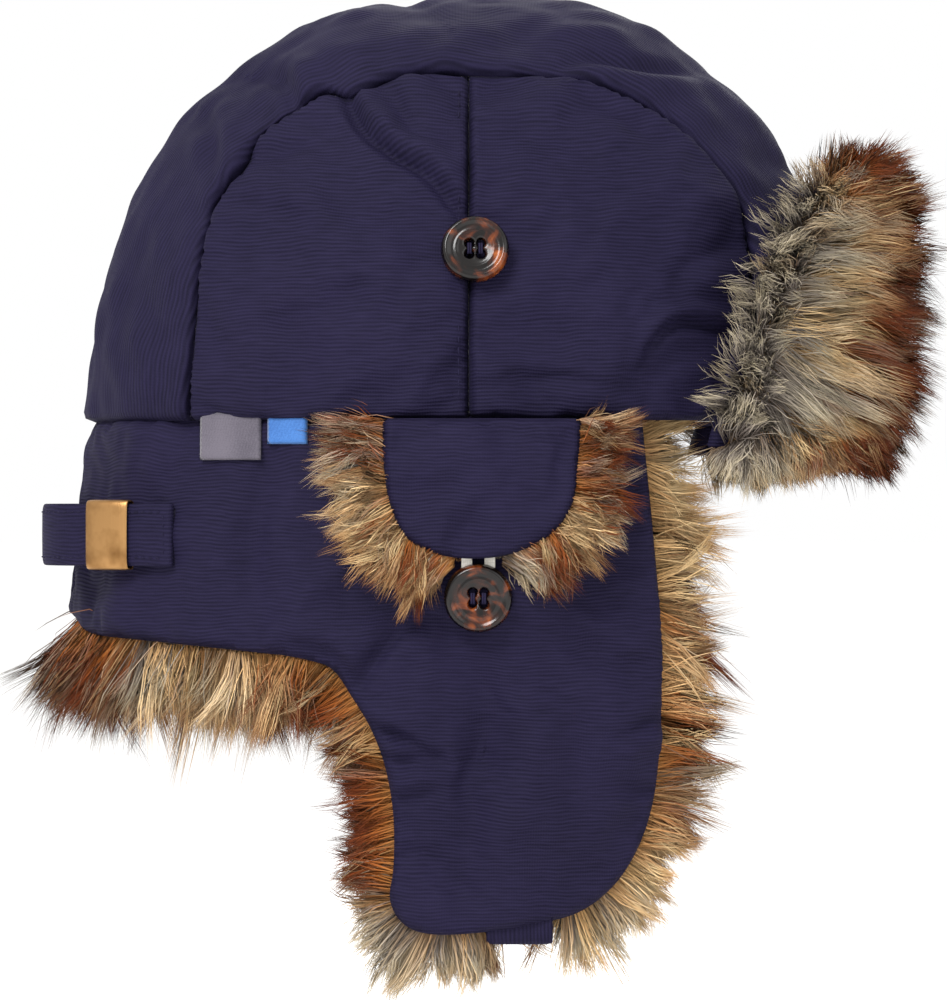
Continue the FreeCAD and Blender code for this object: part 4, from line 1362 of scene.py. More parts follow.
        self.turn_out(piece)
        self.finishes.hand_over(piece, Material.CLOTH, ("crown_centre_band",), "crown", 0.35)

    def turn_out(self, piece: bpy.types.Object) -> None:
        """Makes a closed piece's faces point outwards."""
        work = bmesh.new()
        work.from_mesh(piece.data)
        bmesh.ops.remove_doubles(work, verts=work.verts, dist=0.02 * MM)
        bmesh.ops.recalc_face_normals(work, faces=work.faces)
        work.to_mesh(piece.data)
        work.free()

    def build_side_seam(self, side: Side) -> None:
        """Builds the row of stitches beside the upright seam."""
        top = float(np.interp(self.side_seam, *self.upper_seam().T))
        heights = np.arange(4 * MM, top - 4 * MM, self.stitch)
        x = np.full_like(heights, self.side_seam - 3.2 * MM)
        points = self.dome.side(x, heights, side.sign)
        out = unit(points / np.array((self.dome.half_length, self.dome.half_width, self.dome.height)) ** 2)
        points += out * (self.lift + self.stand)
        piece = stitches(f"side_seam_stitches_{side.word}", points, out)
        self.finishes.hand_over(piece, Material.THREAD, body="crown")


def tube_faces(rings: int, around: int, first: int = 0) -> list[tuple[int, ...]]:
    """The sides and both ends of a tube.

    Args:
        rings: How many rings of points it has.
        around: How many points are in a ring.
        first: The number of its first point.

    Returns:
        Faces as vertex numbers.
    """
    faces = []
    for ring in range(rings - 1):
        for at in range(around):
            a = first + ring * around + at
            b = first + ring * around + (at + 1) % around
            faces.append((a, b, b + around, a + around))
    faces.append(tuple(first + at for at in reversed(range(around))))
    faces.append(tuple(first + (rings - 1) * around + at for at in range(around)))
    return faces


def stitches(
    name: str, points: Array, out: Array, radius: float = 0.26 * MM, share: float = 0.62
) -> bpy.types.Object:
    """A row of sunk stitches: a short tapered bead from each point towards the next.

    Args:
        name: The piece's name.
        points: Where the needle goes in.
        out: The cloth's outward direction there.
        radius: The thread's radius.
        share: How much of each step is covered by thread.

    Returns:
        One piece with every stitch.
    """
    around, rings = 6, 5
    turn = np.linspace(0, 2 * math.pi, around, endpoint=False)
    all_points, all_faces = [], []
    for start, end, up in zip(points[:-1], points[1:], out[:-1]):
        run = end - start
        length = np.linalg.norm(run)
        run = run / length
        aside = np.cross(run, up)
        all_faces += tube_faces(rings, around, rings * around * len(all_points))
        ring_points = []
        for at in np.linspace(0, 1, rings):
            belly = math.sin(math.pi * (0.06 + 0.88 * at))
            centre = start + run * length * (1 - share + share * at) + up * radius * (belly - 0.6)
            size = radius * belly**0.5
            ring_points.append(centre + (np.cos(turn)[:, None] * aside + np.sin(turn)[:, None] * up) * size)
        all_points.append(np.vstack(ring_points))
    return mesh_piece(name, np.vstack(all_points), all_faces)


# ---- curtain and ear flaps


@dataclass
class Skirts:
    """The curtain and the ear flap of each side: one cloth shell, and fur that rides in two parts."""

    finishes: Finishes
    wall: Wall
    dye: Dye = Dye((
        (-138, -84, 15, 0.95, 0.0), (-114, -78, 12, 0.85, 0.0), (-102, -96, 13, 0.15, 0.7),
        (-84, -84, 12, 0.3, 0.15), (-70, -92, 12, 0.3, 0.3), (-54, -84, 12, 0.65, 0.0),
        (-46, -98, 12, 0.85, 0.0), (-36, -100, 10, 0.6, 0.0), (-36, -122, 15, 1.0, 0.0),
        (-35, -146, 13, 1.0, 0.0), (-26, -166, 14, 0.0, 0.8), (-4, -172, 14, 0.1, 0.55),
        (36, -172, 16, 0.1, 0.6), (58, -160, 14, 0.1, 0.35), (72, -140, 12, 0.4, 0.1),
        (74, -120, 12, 0.6, 0.0), (72, -98, 11, 0.5, 0.0), (74, -78, 12, 0.35, 0.0),
        (72, -60, 11, 0.5, 0.0), (72, -42, 12, 0.05, 0.0), (68, -18, 20, 0.0, 0.0),
    ))
    shell: float = 5 * MM
    fold: tuple[float, float] = (-77 * MM, -92 * MM)
    step: float = 2.1 * MM
    edge_roll: float = 4.5 * MM
    hem_hairs: int = 15500
    front_hairs: int = 9500
    flap_hairs: int = 25500
    inner_hairs: int = 11500
    parting_x: float = 18.5 * MM
    parting_half: float = 12.5 * MM
    folds: tuple[tuple[tuple[tuple[float, float], ...], float, float], ...] = (
        (((0, -72), (8, -96), (3, -126), (-4, -156)), 4.2, 8.0),
        (((26, -76), (34, -100), (30, -130)), 2.0, 10.0),
        (((-34, -86), (-27, -74), (-18, -65)), 2.6, 3.0),
        (((-36, -97), (-22, -101), (-10, -107)), 2.8, 2.1),
        (((-32, -106), (-20, -109), (-7, -108)), 2.2, 2.1),
        (((-30, -120), (-19, -121), (-8, -118)), 1.8, 2.3),
        (((-26, -140), (-17, -138), (-9, -140)), 1.3, 2.3),
        (((68, -96), (58, -97), (46, -102)), 2.2, 2.3),
        (((66, -118), (56, -119), (47, -116)), 1.4, 2.3),
        (((-57, -73), (-43, -75), (-34, -84)), 2.1, 2.3),
        (((-64, -18), (-70, -38), (-66, -58)), 2.6, 7.0),
        (((-100, -20), (-106, -38), (-102, -60)), 1.8, 8.0),
        (((-36, -58), (-16, -64), (0, -66)), 2.2, 5.0),
        (((30, -70), (46, -78), (62, -80)), 1.8, 4.5),
    )
    hem_points: tuple[tuple[float, float], ...] = (
        (-130, -66), (-124, -70), (-100, -72), (-66, -75), (-50, -77.5), (-42, -80.5), (-36, -89), (-30, -99),
        (-25.5, -111), (-23, -126), (-23, -142), (-24.3, -153), (-20, -160.5), (-11, -163.8), (6, -163.2),
        (25, -160.5), (39, -156.5), (50, -148), (57.5, -136), (61.8, -122), (63.8, -104),
    )

    def window(self) -> Array:
        """The ear window's outline in (run, z), with round corners."""
        turn = np.linspace(0, 2 * math.pi, 64, endpoint=False)
        x = 4 * MM + 22 * MM * np.sign(np.cos(turn)) * np.abs(np.cos(turn)) ** 0.55
        z = -28 * MM + 13 * MM * np.sign(np.sin(turn)) * np.abs(np.sin(turn)) ** 0.55
        return np.stack((self.wall.run_at(x), z), -1)

    def hem(self) -> Array:
        """The free edge in side view, from the centre back round the flap to its front edge."""
        knots = [(x * MM, z * MM) for x, z in self.hem_points]
        return smooth_line(knots, self.step * 0.8)

    def free_edge(self) -> Array:
        """The whole free edge in (run, z), up to the crown at the front."""
        side_view = np.vstack((self.hem(), straight_line([
            (63.8 * MM, -101.5 * MM), (63.6 * MM, -58 * MM), (62.5 * MM, -30 * MM), (61.0 * MM, -1 * MM),
        ], self.step)))
        return np.stack((self.wall.run_at(side_view[:, 0]), side_view[:, 1]), -1)

    def outline(self) -> Array:
        """The cloth shell's outline in (run, z)."""
        edge = self.free_edge()
        back = np.array((0.05 * MM, edge[0, 1]))
        top_z = 0.6 * MM
        top = [(float(edge[-1, 0]), top_z), (back[0], top_z), tuple(back)]
        edge[0] = back
        return np.vstack((edge, straight_line(top, self.step)))

    def relief(self, side: Side) -> Relief:
        """The shell's surface: swells, level puckers under the crown and round the fold."""
        waves = (
            Ripples(5 + side.sign, 28 * MM, 75 * MM, 2.6 * MM),
            Ripples(9 + side.sign, 8 * MM, 20 * MM, 0.55 * MM),
        )
        creases = tuple(self.crease(*fold) for fold in self.folds)
        return uneven(waves, creases, lambda u, v: -2.6 * MM * np.clip((v + 7 * MM) / (7 * MM), 0, 1) ** 2)

    def crease(self, line: tuple[tuple[float, float], ...], depth: float, width: float) -> Crease:
        """A crease of the shell from its line in side view."""
        return Crease(
            tuple((float(self.wall.run_at(x * MM)) / MM, z) for x, z in line), 1.3 * depth * MM, width * MM
        )

    def build(self) -> None:
        """Builds both sides."""
        for side in Side:
            self.build_shell(side)
            self.build_curtain_fur(side)
            self.build_flap_fur(side)

    def build_shell(self, side: Side) -> None:
        """Builds the cloth shell of the curtain and the flap as one piece that bends at the fold."""
        pattern = Pattern.cut(self.outline(), (self.window(),), self.step)
        padding = Padding(self.shell, self.edge_roll, self.relief(side))
        name = f"curtain_and_flap_cloth_{side.word}"
        piece = padding.sew(name, pattern, self.wall.place(side.sign), outwards)
        billow(piece, 2.0, 2.0 * MM, 0.015)
        nodes = (f"curtain_shell_{side.word}", f"ear_flap_shell_{side.word}")
        self.finishes.hand_over(piece, Material.CLOTH, nodes, fill=0.3)
        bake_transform(piece)

    def fringe(self, side: Side, rng: np.random.Generator, line: Array, count: int, long: Callable) -> Hairs:
        """Hairs along a free edge that lean out past it.

        Args:
            side: The side.
            rng: The random numbers.
            line: The edge in (run, z), with the cloth on its left.
            count: How many hairs.
            long: Gives hair lengths from the roots' side-view x and z.

        Returns:
            The hairs.
        """
        place = self.wall.place(side.sign)
        spots, aside, _ = along_line(rng, line, count)
        back = rng.uniform(0.0, 7 * MM, count)
        rooted = spots - aside * back[:, None]
        depth = rng.uniform(2.4 * MM, self.shell + 7 * MM, count)
        depth = np.maximum(depth, np.minimum(2.0 * MM + 1.6 * back, 6.2 * MM))
        base = place(*rooted.T)
        plane = towards(place, rooted, aside)
        normal = normals_of(place, *rooted.T, outwards(base))
        hem_flare = 0.5 * np.clip((-base[:, 0] - 44 * MM) / (12 * MM), 0, 1)
        flare = hem_flare + 0.7 * np.clip((-base[:, 0] - 88 * MM) / (40 * MM), 0, 1)
        tilt = rng.normal(0.0, 0.26, count) + 0.35 - depth / (7 * MM) + flare
        lean = Ripples(int(rng.integers(99)), 16 * MM, 40 * MM, 0.5)
        along = towards(place, rooted, quarter(aside))
        drift = lean.at(*rooted.T)
        lift = 0.45 * np.clip(1 + base[:, 2] / (16 * MM), 0, 1)[:, None] * UP
        direction = unit(plane + normal * tilt[:, None] * 0.55 + along * drift[:, None] + lift)
        return Hairs(base - normal * depth[:, None], direction, long(base[:, 0], base[:, 2]), normal)

    def field(
        self, side: Side, rng: np.random.Generator, outline: Array, count: int, holes: tuple[Array, ...] = ()
    ) -> Hairs:
        """Hairs over the inner face inside an outline and outside its holes, combed down and to the head."""
        place = self.wall.place(side.sign)
        spots = scatter(rng, outline, count, holes)
        base = place(*spots.T)
        normal = normals_of(place, *spots.T, outwards(base))
        comb = Ripples(int(rng.integers(99)), 25 * MM, 60 * MM, 0.35).at(*spots.T)
        down = np.array((0.0, 0.0, -0.85)) + np.stack((comb, 0 * comb, 0 * comb), -1)
        direction = unit(-normal * 0.8 + down)
        return Hairs(base - normal * (self.shell + 1.5 * MM), direction, np.full(count, 15 * MM), -normal)

    def split(self, line: Array, below: bool) -> Array:
        """The part of the free edge above or below the fold."""
        middle = (self.fold[0] + self.fold[1]) / 2
        keep = line[:, 1] < middle if below else line[:, 1] >= middle
        return line[keep]

    def build_curtain_fur(self, side: Side) -> None:
        """Builds the curtain's fur: a long fringe at the back hem, one at the front, and the inner face."""
        rng = np.random.default_rng(100 + side.sign)
        edge = self.free_edge()
        level = self.split(edge, below=False)
        jump = int(np.argmax(np.diff(level[:, 0]))) + 1
        hem, front = level[:jump], level[jump:]

        def long_hem(x: Array, z: Array) -> Array:
            places = (-120 * MM, -100 * MM, -60 * MM, -42 * MM)
            return np.interp(x, places, (28 * MM, 25.5 * MM, 27 * MM, 23 * MM))

        def long_front(x: Array, z: Array) -> Array:
            return np.interp(z, (-75 * MM, -50 * MM, -20 * MM, 0.0), (27 * MM, 27 * MM, 26 * MM, 24 * MM))

        low_hem = np.vstack(((-3 * MM, hem[0, 1]), hem)) + np.array((0, -1.0 * MM))
        groups = [
            self.fringe(side, rng, low_hem, self.hem_hairs, long_hem),
            self.fringe(side, rng, front, self.front_hairs, long_front),
        ]
        top = np.array(((-0.5 * MM, -3 * MM), (float(edge[-1, 0]) - 2 * MM, -3 * MM)))
        low = np.array(((float(front[0, 0]) - 2 * MM, -76 * MM), (-0.5 * MM, -68 * MM)))
        inner = straight_line([*map(tuple, top), *map(tuple, low), tuple(top[0])], self.step)
        groups.append(self.field(side, rng, inner, self.inner_hairs, (self.window(),)))
        pattern = Pattern.cut(inner, (self.window(),), 4 * MM)
        backing = closed_shell(pattern, self.wall.place(side.sign), self.shell + 0.6 * MM, 1.2 * MM)
        pile = Pile(200 + side.sign, self.dye, bend=0.36)
        piece = pile.grow(f"curtain_pile_{side.word}", Hairs.together(groups), backing)
        self.finishes.hand_over(piece, Material.FUR, (f"curtain_fur_{side.word}",), "crown")

    def build_flap_fur(self, side: Side) -> None:
        """Builds the ear flap's fur: a fringe all round, parted at the chin strap, and the inner face."""
        rng = np.random.default_rng(300 + side.sign)
        edge = self.free_edge()
        line = self.split(edge, below=True)

        def long_flap(x: Array, z: Array) -> Array:
            front = np.interp(z, (-140 * MM, -105 * MM), (23 * MM, 28 * MM))
            return np.where(x > 20 * MM, front, np.interp(z, (-165 * MM, -150 * MM), (20 * MM, 22 * MM)))

        fringe = self.fringe(side, rng, line, self.flap_hairs, long_flap)
        at_strap = np.abs(fringe.roots[:, 0] - self.parting_x) < self.parting_half
        at_strap &= fringe.roots[:, 2] < -150 * MM
        keep = ~at_strap | (rng.random(len(at_strap)) < 0.03)
        fringe = fringe.only(keep)
        closing = straight_line([tuple(line[-1]), tuple(line[0])], self.step)
        outline = np.vstack((line, closing))
        shrink = outline.mean(0) + (outline - outline.mean(0)) * 0.965
        field = self.field(side, rng, shrink, self.inner_hairs)
        pattern = Pattern.cut(shrink, (), 4 * MM)
        backing = closed_shell(pattern, self.wall.place(side.sign), self.shell + 0.6 * MM, 1.2 * MM)
        hairs = Hairs.together([fringe, field])
        piece = Pile(400 + side.sign, self.dye).grow(f"ear_flap_pile_{side.word}", hairs, backing)
        self.finishes.hand_over(piece, Material.FUR, (f"ear_flap_fur_{side.word}",), f"ear_flap_{side.word}")


# ---- ear hatches


@dataclass
class EarHatches:
    """The ear hatches: a small U-shaped cloth flap with a fur margin and an elastic loop."""

    finishes: Finishes
    wall: Wall
    half_length: float = 178 * MM
    stand: float = 11.6 * MM
    shell: float = 4.2 * MM
    dye: Dye = Dye((
        (-32, -8, 13, 0.75, 0.15), (-44, -22, 12, 0.1, 0.6), (-36, -38, 12, 0.1, 0.1),
        (-26, -54, 11, 0.75, 0.1), (-10, -54, 9, 0.45, 0.0), (14, -50, 8, 0.0, 0.8),
        (21, -58, 8, 0.2, 0.3), (34, -53, 12, 1.0, 0.0), (46, -38, 9, 0.3, 0.5),
        (48, -21, 12, 1.0, 0.0), (44, -5, 10, 0.6, 0.1),
    ))
    button_x: float = 4.5 * MM
    margin_hairs: int = 27000
    inner_hairs: int = 6000

    def place(self, side: Side, stand: float) -> Surface:
        """The function from side-view (x, z) to the hatch's wall, which is flatter than the curtain's."""

        def at(x: Array, z: Array) -> Array:
            _, width = self.wall.ovals(z)
            y = side.sign * (width + stand) * np.sqrt(1 - (x / self.half_length) ** 2)
            return np.stack((x, y, z), -1)

        return at

    def edge(self) -> Array:
        """The hatch's free edge in side view, from its rear top round to its front top."""
        knots = (
            (-25.8, -1), (-25.5, -14), (-23.6, -27), (-18.5, -38), (-9, -43.4), (4.5, -45), (18, -42.6),
            (28.5, -36.5), (34.5, -27), (36.2, -13), (37.2, -1),
        )
        return smooth_line([(x * MM, z * MM) for x, z in knots], 1.6 * MM)

    def build(self) -> None:
        """Builds both hatches."""
        for side in Side:
            self.build_shell(side)
            self.build_fur(side)
            self.build_loop(side)

    def build_shell(self, side: Side) -> None:
        """Builds the cloth flap."""
        edge = self.edge()
        closing = straight_line([tuple(edge[-1]), tuple(edge[0])], 1.8 * MM)[1:]
        pattern = Pattern.cut(np.vstack((edge, closing)), step=1.8 * MM)
        broad = Ripples(21 + side.sign, 18 * MM, 50 * MM, 1.1 * MM)
        folds = (
            Crease(((-4, -46), (0, -36), (8, -26)), 1.8 * MM, 2.6 * MM),
            Crease(((-10, -24), (6, -18), (22, -10)), 0.8 * MM, 5.0 * MM),
            Crease(((34, -6), (30, -16), (28, -28)), 0.7 * MM, 3.0 * MM),
        )

        def relief(u: Array, v: Array) -> Array:
            return broad.at(u, v) + sum(fold.at(u, v) for fold in folds)

        padding = Padding(self.shell, 3.2 * MM, relief)
        piece = padding.sew(f"ear_hatch_cloth_{side.word}", pattern, self.place(side, self.stand), outwards)
        billow(piece, 3.0, 2.0 * MM, 0.03)
        node, body = f"ear_hatch_shell_{side.word}", f"ear_hatch_{side.word}"
        self.finishes.hand_over(piece, Material.CLOTH, (node,), body, 0.4)

    def build_fur(self, side: Side) -> None:
        """Builds the fur: a wide margin that leans out of the flap's edge, parted at the button."""
        rng = np.random.default_rng(500 + side.sign)
        edge = self.edge()
        count = self.margin_hairs
        spots, aside, share = along_line(rng, edge, count)
        rooted = spots - aside * rng.uniform(-3.5 * MM, 5 * MM, count)[:, None]
        rooted[:, 1] = np.minimum(rooted[:, 1], -2.0 * MM)
        place = self.place(side, 0.0)
        stand = rng.uniform(1.5 * MM, 8.5 * MM, count)
        base = place(*rooted.T)
        plane = towards(place, rooted, aside)
        normal = normals_of(place, *rooted.T, outwards(base))
        drift = Ripples(61, 12 * MM, 30 * MM, 0.55).at(*rooted.T)
        along = towards(place, rooted, quarter(aside))
        rise = 0.06 + 0.26 * (stand / (8.5 * MM)) + rng.normal(0, 0.12, count)
        direction = unit(plane + normal * rise[:, None] + along * drift[:, None])
        length = np.interp(share, (0.0, 0.3, 0.5, 0.7, 1.0), (18 * MM, 18 * MM, 14.5 * MM, 16 * MM, 15 * MM))
        off = rooted[:, 0] - self.button_x
        low = rooted[:, 1] < -36 * MM
        parting = np.sign(off) * np.exp(-(((np.abs(off) - 8 * MM) / (6 * MM)) ** 2)) * low
        direction = unit(direction + ALONG * (0.75 * parting)[:, None])
        keep = ~((np.abs(off) < 7.2 * MM) & low)
        margin = Hairs(base + normal * stand[:, None], direction, length, normal).only(keep)
        closing = straight_line([tuple(edge[-1]), tuple(edge[0])], 3 * MM)[1:]
        outline = np.vstack((edge, closing))
        outline = outline[outline[:, 1] < -4 * MM]
        spots = scatter(rng, outline, self.inner_hairs)
        at_button = (np.abs(spots[:, 0] - self.button_x) < 10 * MM) & (spots[:, 1] < -30 * MM)
        base = place(*spots.T)
        normal = normals_of(place, *spots.T, outwards(base))
        lining = Hairs(
            base + normal * 5.5 * MM,
            unit(-normal * 0.45 + np.array((0.0, 0.0, -1.0))),
            np.where(at_button, 3 * MM, 11 * MM),
            -normal,
        )
        pattern = Pattern.cut(outline, step=3.5 * MM)
        backing = closed_shell(pattern, self.place(side, 8.0 * MM), 0.5 * MM, 1.2 * MM)
        pile = Pile(600 + side.sign, self.dye, per_lock=30, droop=0.1)
        piece = pile.grow(f"ear_hatch_pile_{side.word}", Hairs.together([margin, lining]), backing)
        node, body = f"ear_hatch_fur_{side.word}", f"ear_hatch_{side.word}"
        self.finishes.hand_over(piece, Material.FUR, (node,), body)

    def build_loop(self, side: Side) -> None:
        """Builds the elastic loop: a flat tape from the hem, round the button's shank and back."""
        leg, half = 3.4 * MM, 3.6 * MM
        top_z, low_z = -43 * MM, -57.5 * MM
        middle_x = self.button_x
        turn = np.linspace(0, math.pi, 13)
        path = [(middle_x - half, top_z), (middle_x - half, low_z + half)]
        path += [(middle_x - half * math.cos(t), low_z + half - half * math.sin(t)) for t in turn[1:-1]]
        path += [(middle_x + half, low_z + half), (middle_x + half, top_z)]
        line = straight_line(path, 1.2 * MM)
        x, z = line.T
        _, width = self.wall.ovals(z)
        slope = np.clip((z - low_z) / (top_z - low_z), 0, 1)
        y = side.sign * (width + 3.4 * MM + 4.4 * MM * slope)
        centre = np.stack((x, y, z), -1)
        run = unit(np.gradient(centre, axis=0))
        up = np.array((0.0, side.sign * 1.0, 0.0))
        aside = unit(np.cross(run, up))
        piece = tape(f"elastic_loop_tape_{side.word}", centre, aside, np.tile(up, (len(x), 1)), leg, 0.9 * MM)
        node, body = f"elastic_loop_{side.word}", f"ear_hatch_{side.word}"
        self.finishes.hand_over(piece, Material.ELASTIC, (node,), body)


def tape(
    name: str, centre: Array, aside: Array, up: Array, width: float, thickness: float
) -> bpy.types.Object:
    """A flat tape along a path, with soft edges.

    Args:
        name: The piece's name.
        centre: The path's points.
        aside: Unit vectors across the tape.
        up: Unit vectors out of its face.
        width: The tape's width.
        thickness: Its thickness.

    Returns:
        The piece, with the weave attribute along and across the tape.
    """
    turn = np.linspace(0, 2 * math.pi, 20, endpoint=False)
    flat = np.sign(np.cos(turn)) * np.abs(np.cos(turn)) ** 0.35 * width / 2
    rise = np.sign(np.sin(turn)) * np.abs(np.sin(turn)) ** 0.7 * thickness / 2
    count, around = len(centre), len(turn)
    points = (
        centre[:, None] + aside[:, None] * flat[None, :, None] + up[:, None] * rise[None, :, None]
    ).reshape(-1, 3)
    piece = mesh_piece(name, points, tube_faces(count, around))
    run = running(np.linalg.norm(np.diff(centre, axis=0), axis=1))
    weave = (np.repeat(run, around), np.tile(flat, count), np.zeros(count * around))
    mark(piece, "weave", np.stack(weave, -1))
    return piece


# ---- visor


@dataclass
class Visor:
    """The folded-up visor: padded cloth towards the crown and fur in front."""

    finishes: Finishes
    dome: Dome
    gap: float = 4 * MM
    lean: float = 3.5 * MM
    foot: float = -9 * MM
    head: float = 88 * MM
    crest: float = 66 * MM
    shell: float = 4 * MM
    face_hairs: int = 19000
    edge_hairs: int = 20000
    dye: Dye = Dye((
        (88, -4, 16, 0.0, 0.9), (88, 20, 18, 0.0, 0.95), (96, 44, 18, 0.0, 0.9), (106, 66, 14, 0.05, 0.8),
        (114, 92, 12, 0.35, 0.4), (112, 20, 14, 0.1, 0.5), (118, 48, 12, 0.1, 0.4), (110, -8, 12, 0.35, 0.2),
        (130, 40, 10, 0.6, 0.0), (129, 10, 12, 0.6, 0.1), (128, 70, 10, 0.6, 0.0), (122, 91, 8, 1.0, 0.0),
        (142, 74, 19, 1.0, 0.0),
        (144, 44, 19, 1.0, 0.0), (146, 14, 19, 1.0, 0.0), (136, -12, 15, 1.0, 0.0),
    ))

    def place(self, stand: float) -> Surface:
        """The function from (run from the front centre, z) to the visor's wall."""
        half_length = self.dome.half_length + self.gap + stand
        half_width = self.dome.half_width + self.gap + stand
        angles, lengths = oval_lengths(half_length, half_width, math.pi / 2, 361)

        def at(run: Array, z: Array) -> Array:
            angle = np.interp(np.abs(run), lengths, angles) * np.sign(run)
            lean = self.lean * np.clip((z - self.foot) / (self.head - self.foot), 0, 1.2)
            x = (half_length + lean) * np.cos(angle)
            y = (half_width + lean) * np.sin(angle)
            return np.stack((x, y, z), -1)

        return at

    def run_at(self, x: float) -> float:
        """Length round the visor, from the front centre, of a place in side view."""
        half_length = self.dome.half_length + self.gap
        half_width = self.dome.half_width + self.gap
        angles = np.linspace(0, math.acos(min(1.0, x / half_length)), 200)
        steps = np.hypot(half_length * np.sin(angles), half_width * np.cos(angles))
        return float(((steps[1:] + steps[:-1]) / 2).sum() * (angles[1] - angles[0]))

    def half_edge(self) -> Array:
        """One side edge in (run, z), from its foot to the middle of the top."""
        knots = ((75.5, -11.5), (80, 6), (85.5, 30), (92, 50), (100, 66), (108, 75), (117, 79))
        line = [(self.run_at(x * MM), z * MM) for x, z in knots]
        return smooth_line(line + [(0.0, self.crest)], 2.2 * MM)

    def outline(self) -> Array:
        """The visor's outline."""
        half = self.half_edge()
        other = half[::-1][1:] * np.array((-1.0, 1.0))
        foot = straight_line([tuple(other[-1]), tuple(half[0])], 2.2 * MM)[1:]
        return np.vstack((half, other, foot))

    def build(self) -> None:
        """Builds the cloth side and the fur side."""
        outline = self.outline()
        pattern = Pattern.cut(outline, step=2.4 * MM)
        broad = Ripples(41, 25 * MM, 60 * MM, 1.0 * MM)
        padding = Padding(self.shell, 4 * MM, broad.at, depth=-self.shell)
        cloth = padding.sew("visor_cloth", pattern, self.place(0.0), outwards)
        billow(cloth, 2.0, 2.0 * MM, 0.02)
        self.finishes.hand_over(cloth, Material.CLOTH, ("visor_shell",), "visor", 0.35)
        self.finishes.hand_over(self.build_fur(outline), Material.FUR, ("visor_fur",), "visor")

    def build_fur(self, outline: Array) -> bpy.types.Object:
        """Builds the fur: combed from the middle towards the edges, with a fringe round them."""
        rng = np.random.default_rng(700)
        place = self.place(self.shell + 0.5 * MM)
        spots = scatter(rng, outline, self.face_hairs)
        base = place(*spots.T)
        normal = normals_of(place, *spots.T, outwards(base))
        ahead = unit(place(*(spots + np.array((MM, 0))).T) - base)
        middle = np.array((0.0, 30 * MM))
        away = (spots - middle) / np.array((75 * MM, 48 * MM))
        comb = Ripples(71, 22 * MM, 60 * MM, 0.4).at(*spots.T)
        direction = unit(
            normal * 0.75
            - ahead * (away[:, 0] * 0.8)[:, None]
            + UP * (away[:, 1] * 0.6 + comb)[:, None]
        )
        below = np.clip((14 * MM - spots[:, 1]) / (22 * MM), 0, 1)
        face = Hairs(base + normal * 1.2 * MM, direction, (25 - 11 * below) * MM, normal)
        edge = np.vstack((outline, outline[:1]))[::-1]
        count = self.edge_hairs
        spots, aside, _ = along_line(rng, edge, count)
        rooted = spots + aside * rng.uniform(-1 * MM, 7 * MM, count)[:, None]
        base = place(*rooted.T)
        plane = towards(place, rooted, -aside)
        normal = normals_of(place, *rooted.T, outwards(base))
        stand = rng.uniform(-2.5 * MM, 8 * MM, count)
        lean = Ripples(73, 14 * MM, 40 * MM, 0.5).at(*rooted.T)
        along = towards(place, rooted, quarter(aside))
        rise = 0.35 + 0.11 * stand / MM + rng.normal(0, 0.2, count)
        upward = np.array((0.0, 0.0, 0.9)) * np.clip(1 - 2 * np.abs(plane[:, 2:]), 0, 1)
        plane = plane * (1 - 0.9 * np.clip(1 - 2 * np.abs(plane[:, 2:]), 0, 1)) + upward
        direction = unit(plane + normal * rise[:, None] + along * lean[:, None])
        down = np.clip(-plane[:, 2], 0, 1)
        low = down * np.clip((base[:, 0] - 100 * MM) / (25 * MM), 0, 1)
        length = (19 - 5 * down - low * (8 + 0.45 * stand / MM)) * MM
        fringe = Hairs(base + normal * stand[:, None], direction, length, normal)
        pattern = Pattern.cut(outline, step=4 * MM)
        backing = closed_shell(pattern, self.place(self.shell + 1.6 * MM), 0.0, 1.2 * MM)
        pile = Pile(800, self.dye, droop=0.2, uneven=0.07, spread=0.2, bend=0.16)
        return pile.grow("visor_pile", Hairs.together([face, fringe]), backing)


# ---- buttons


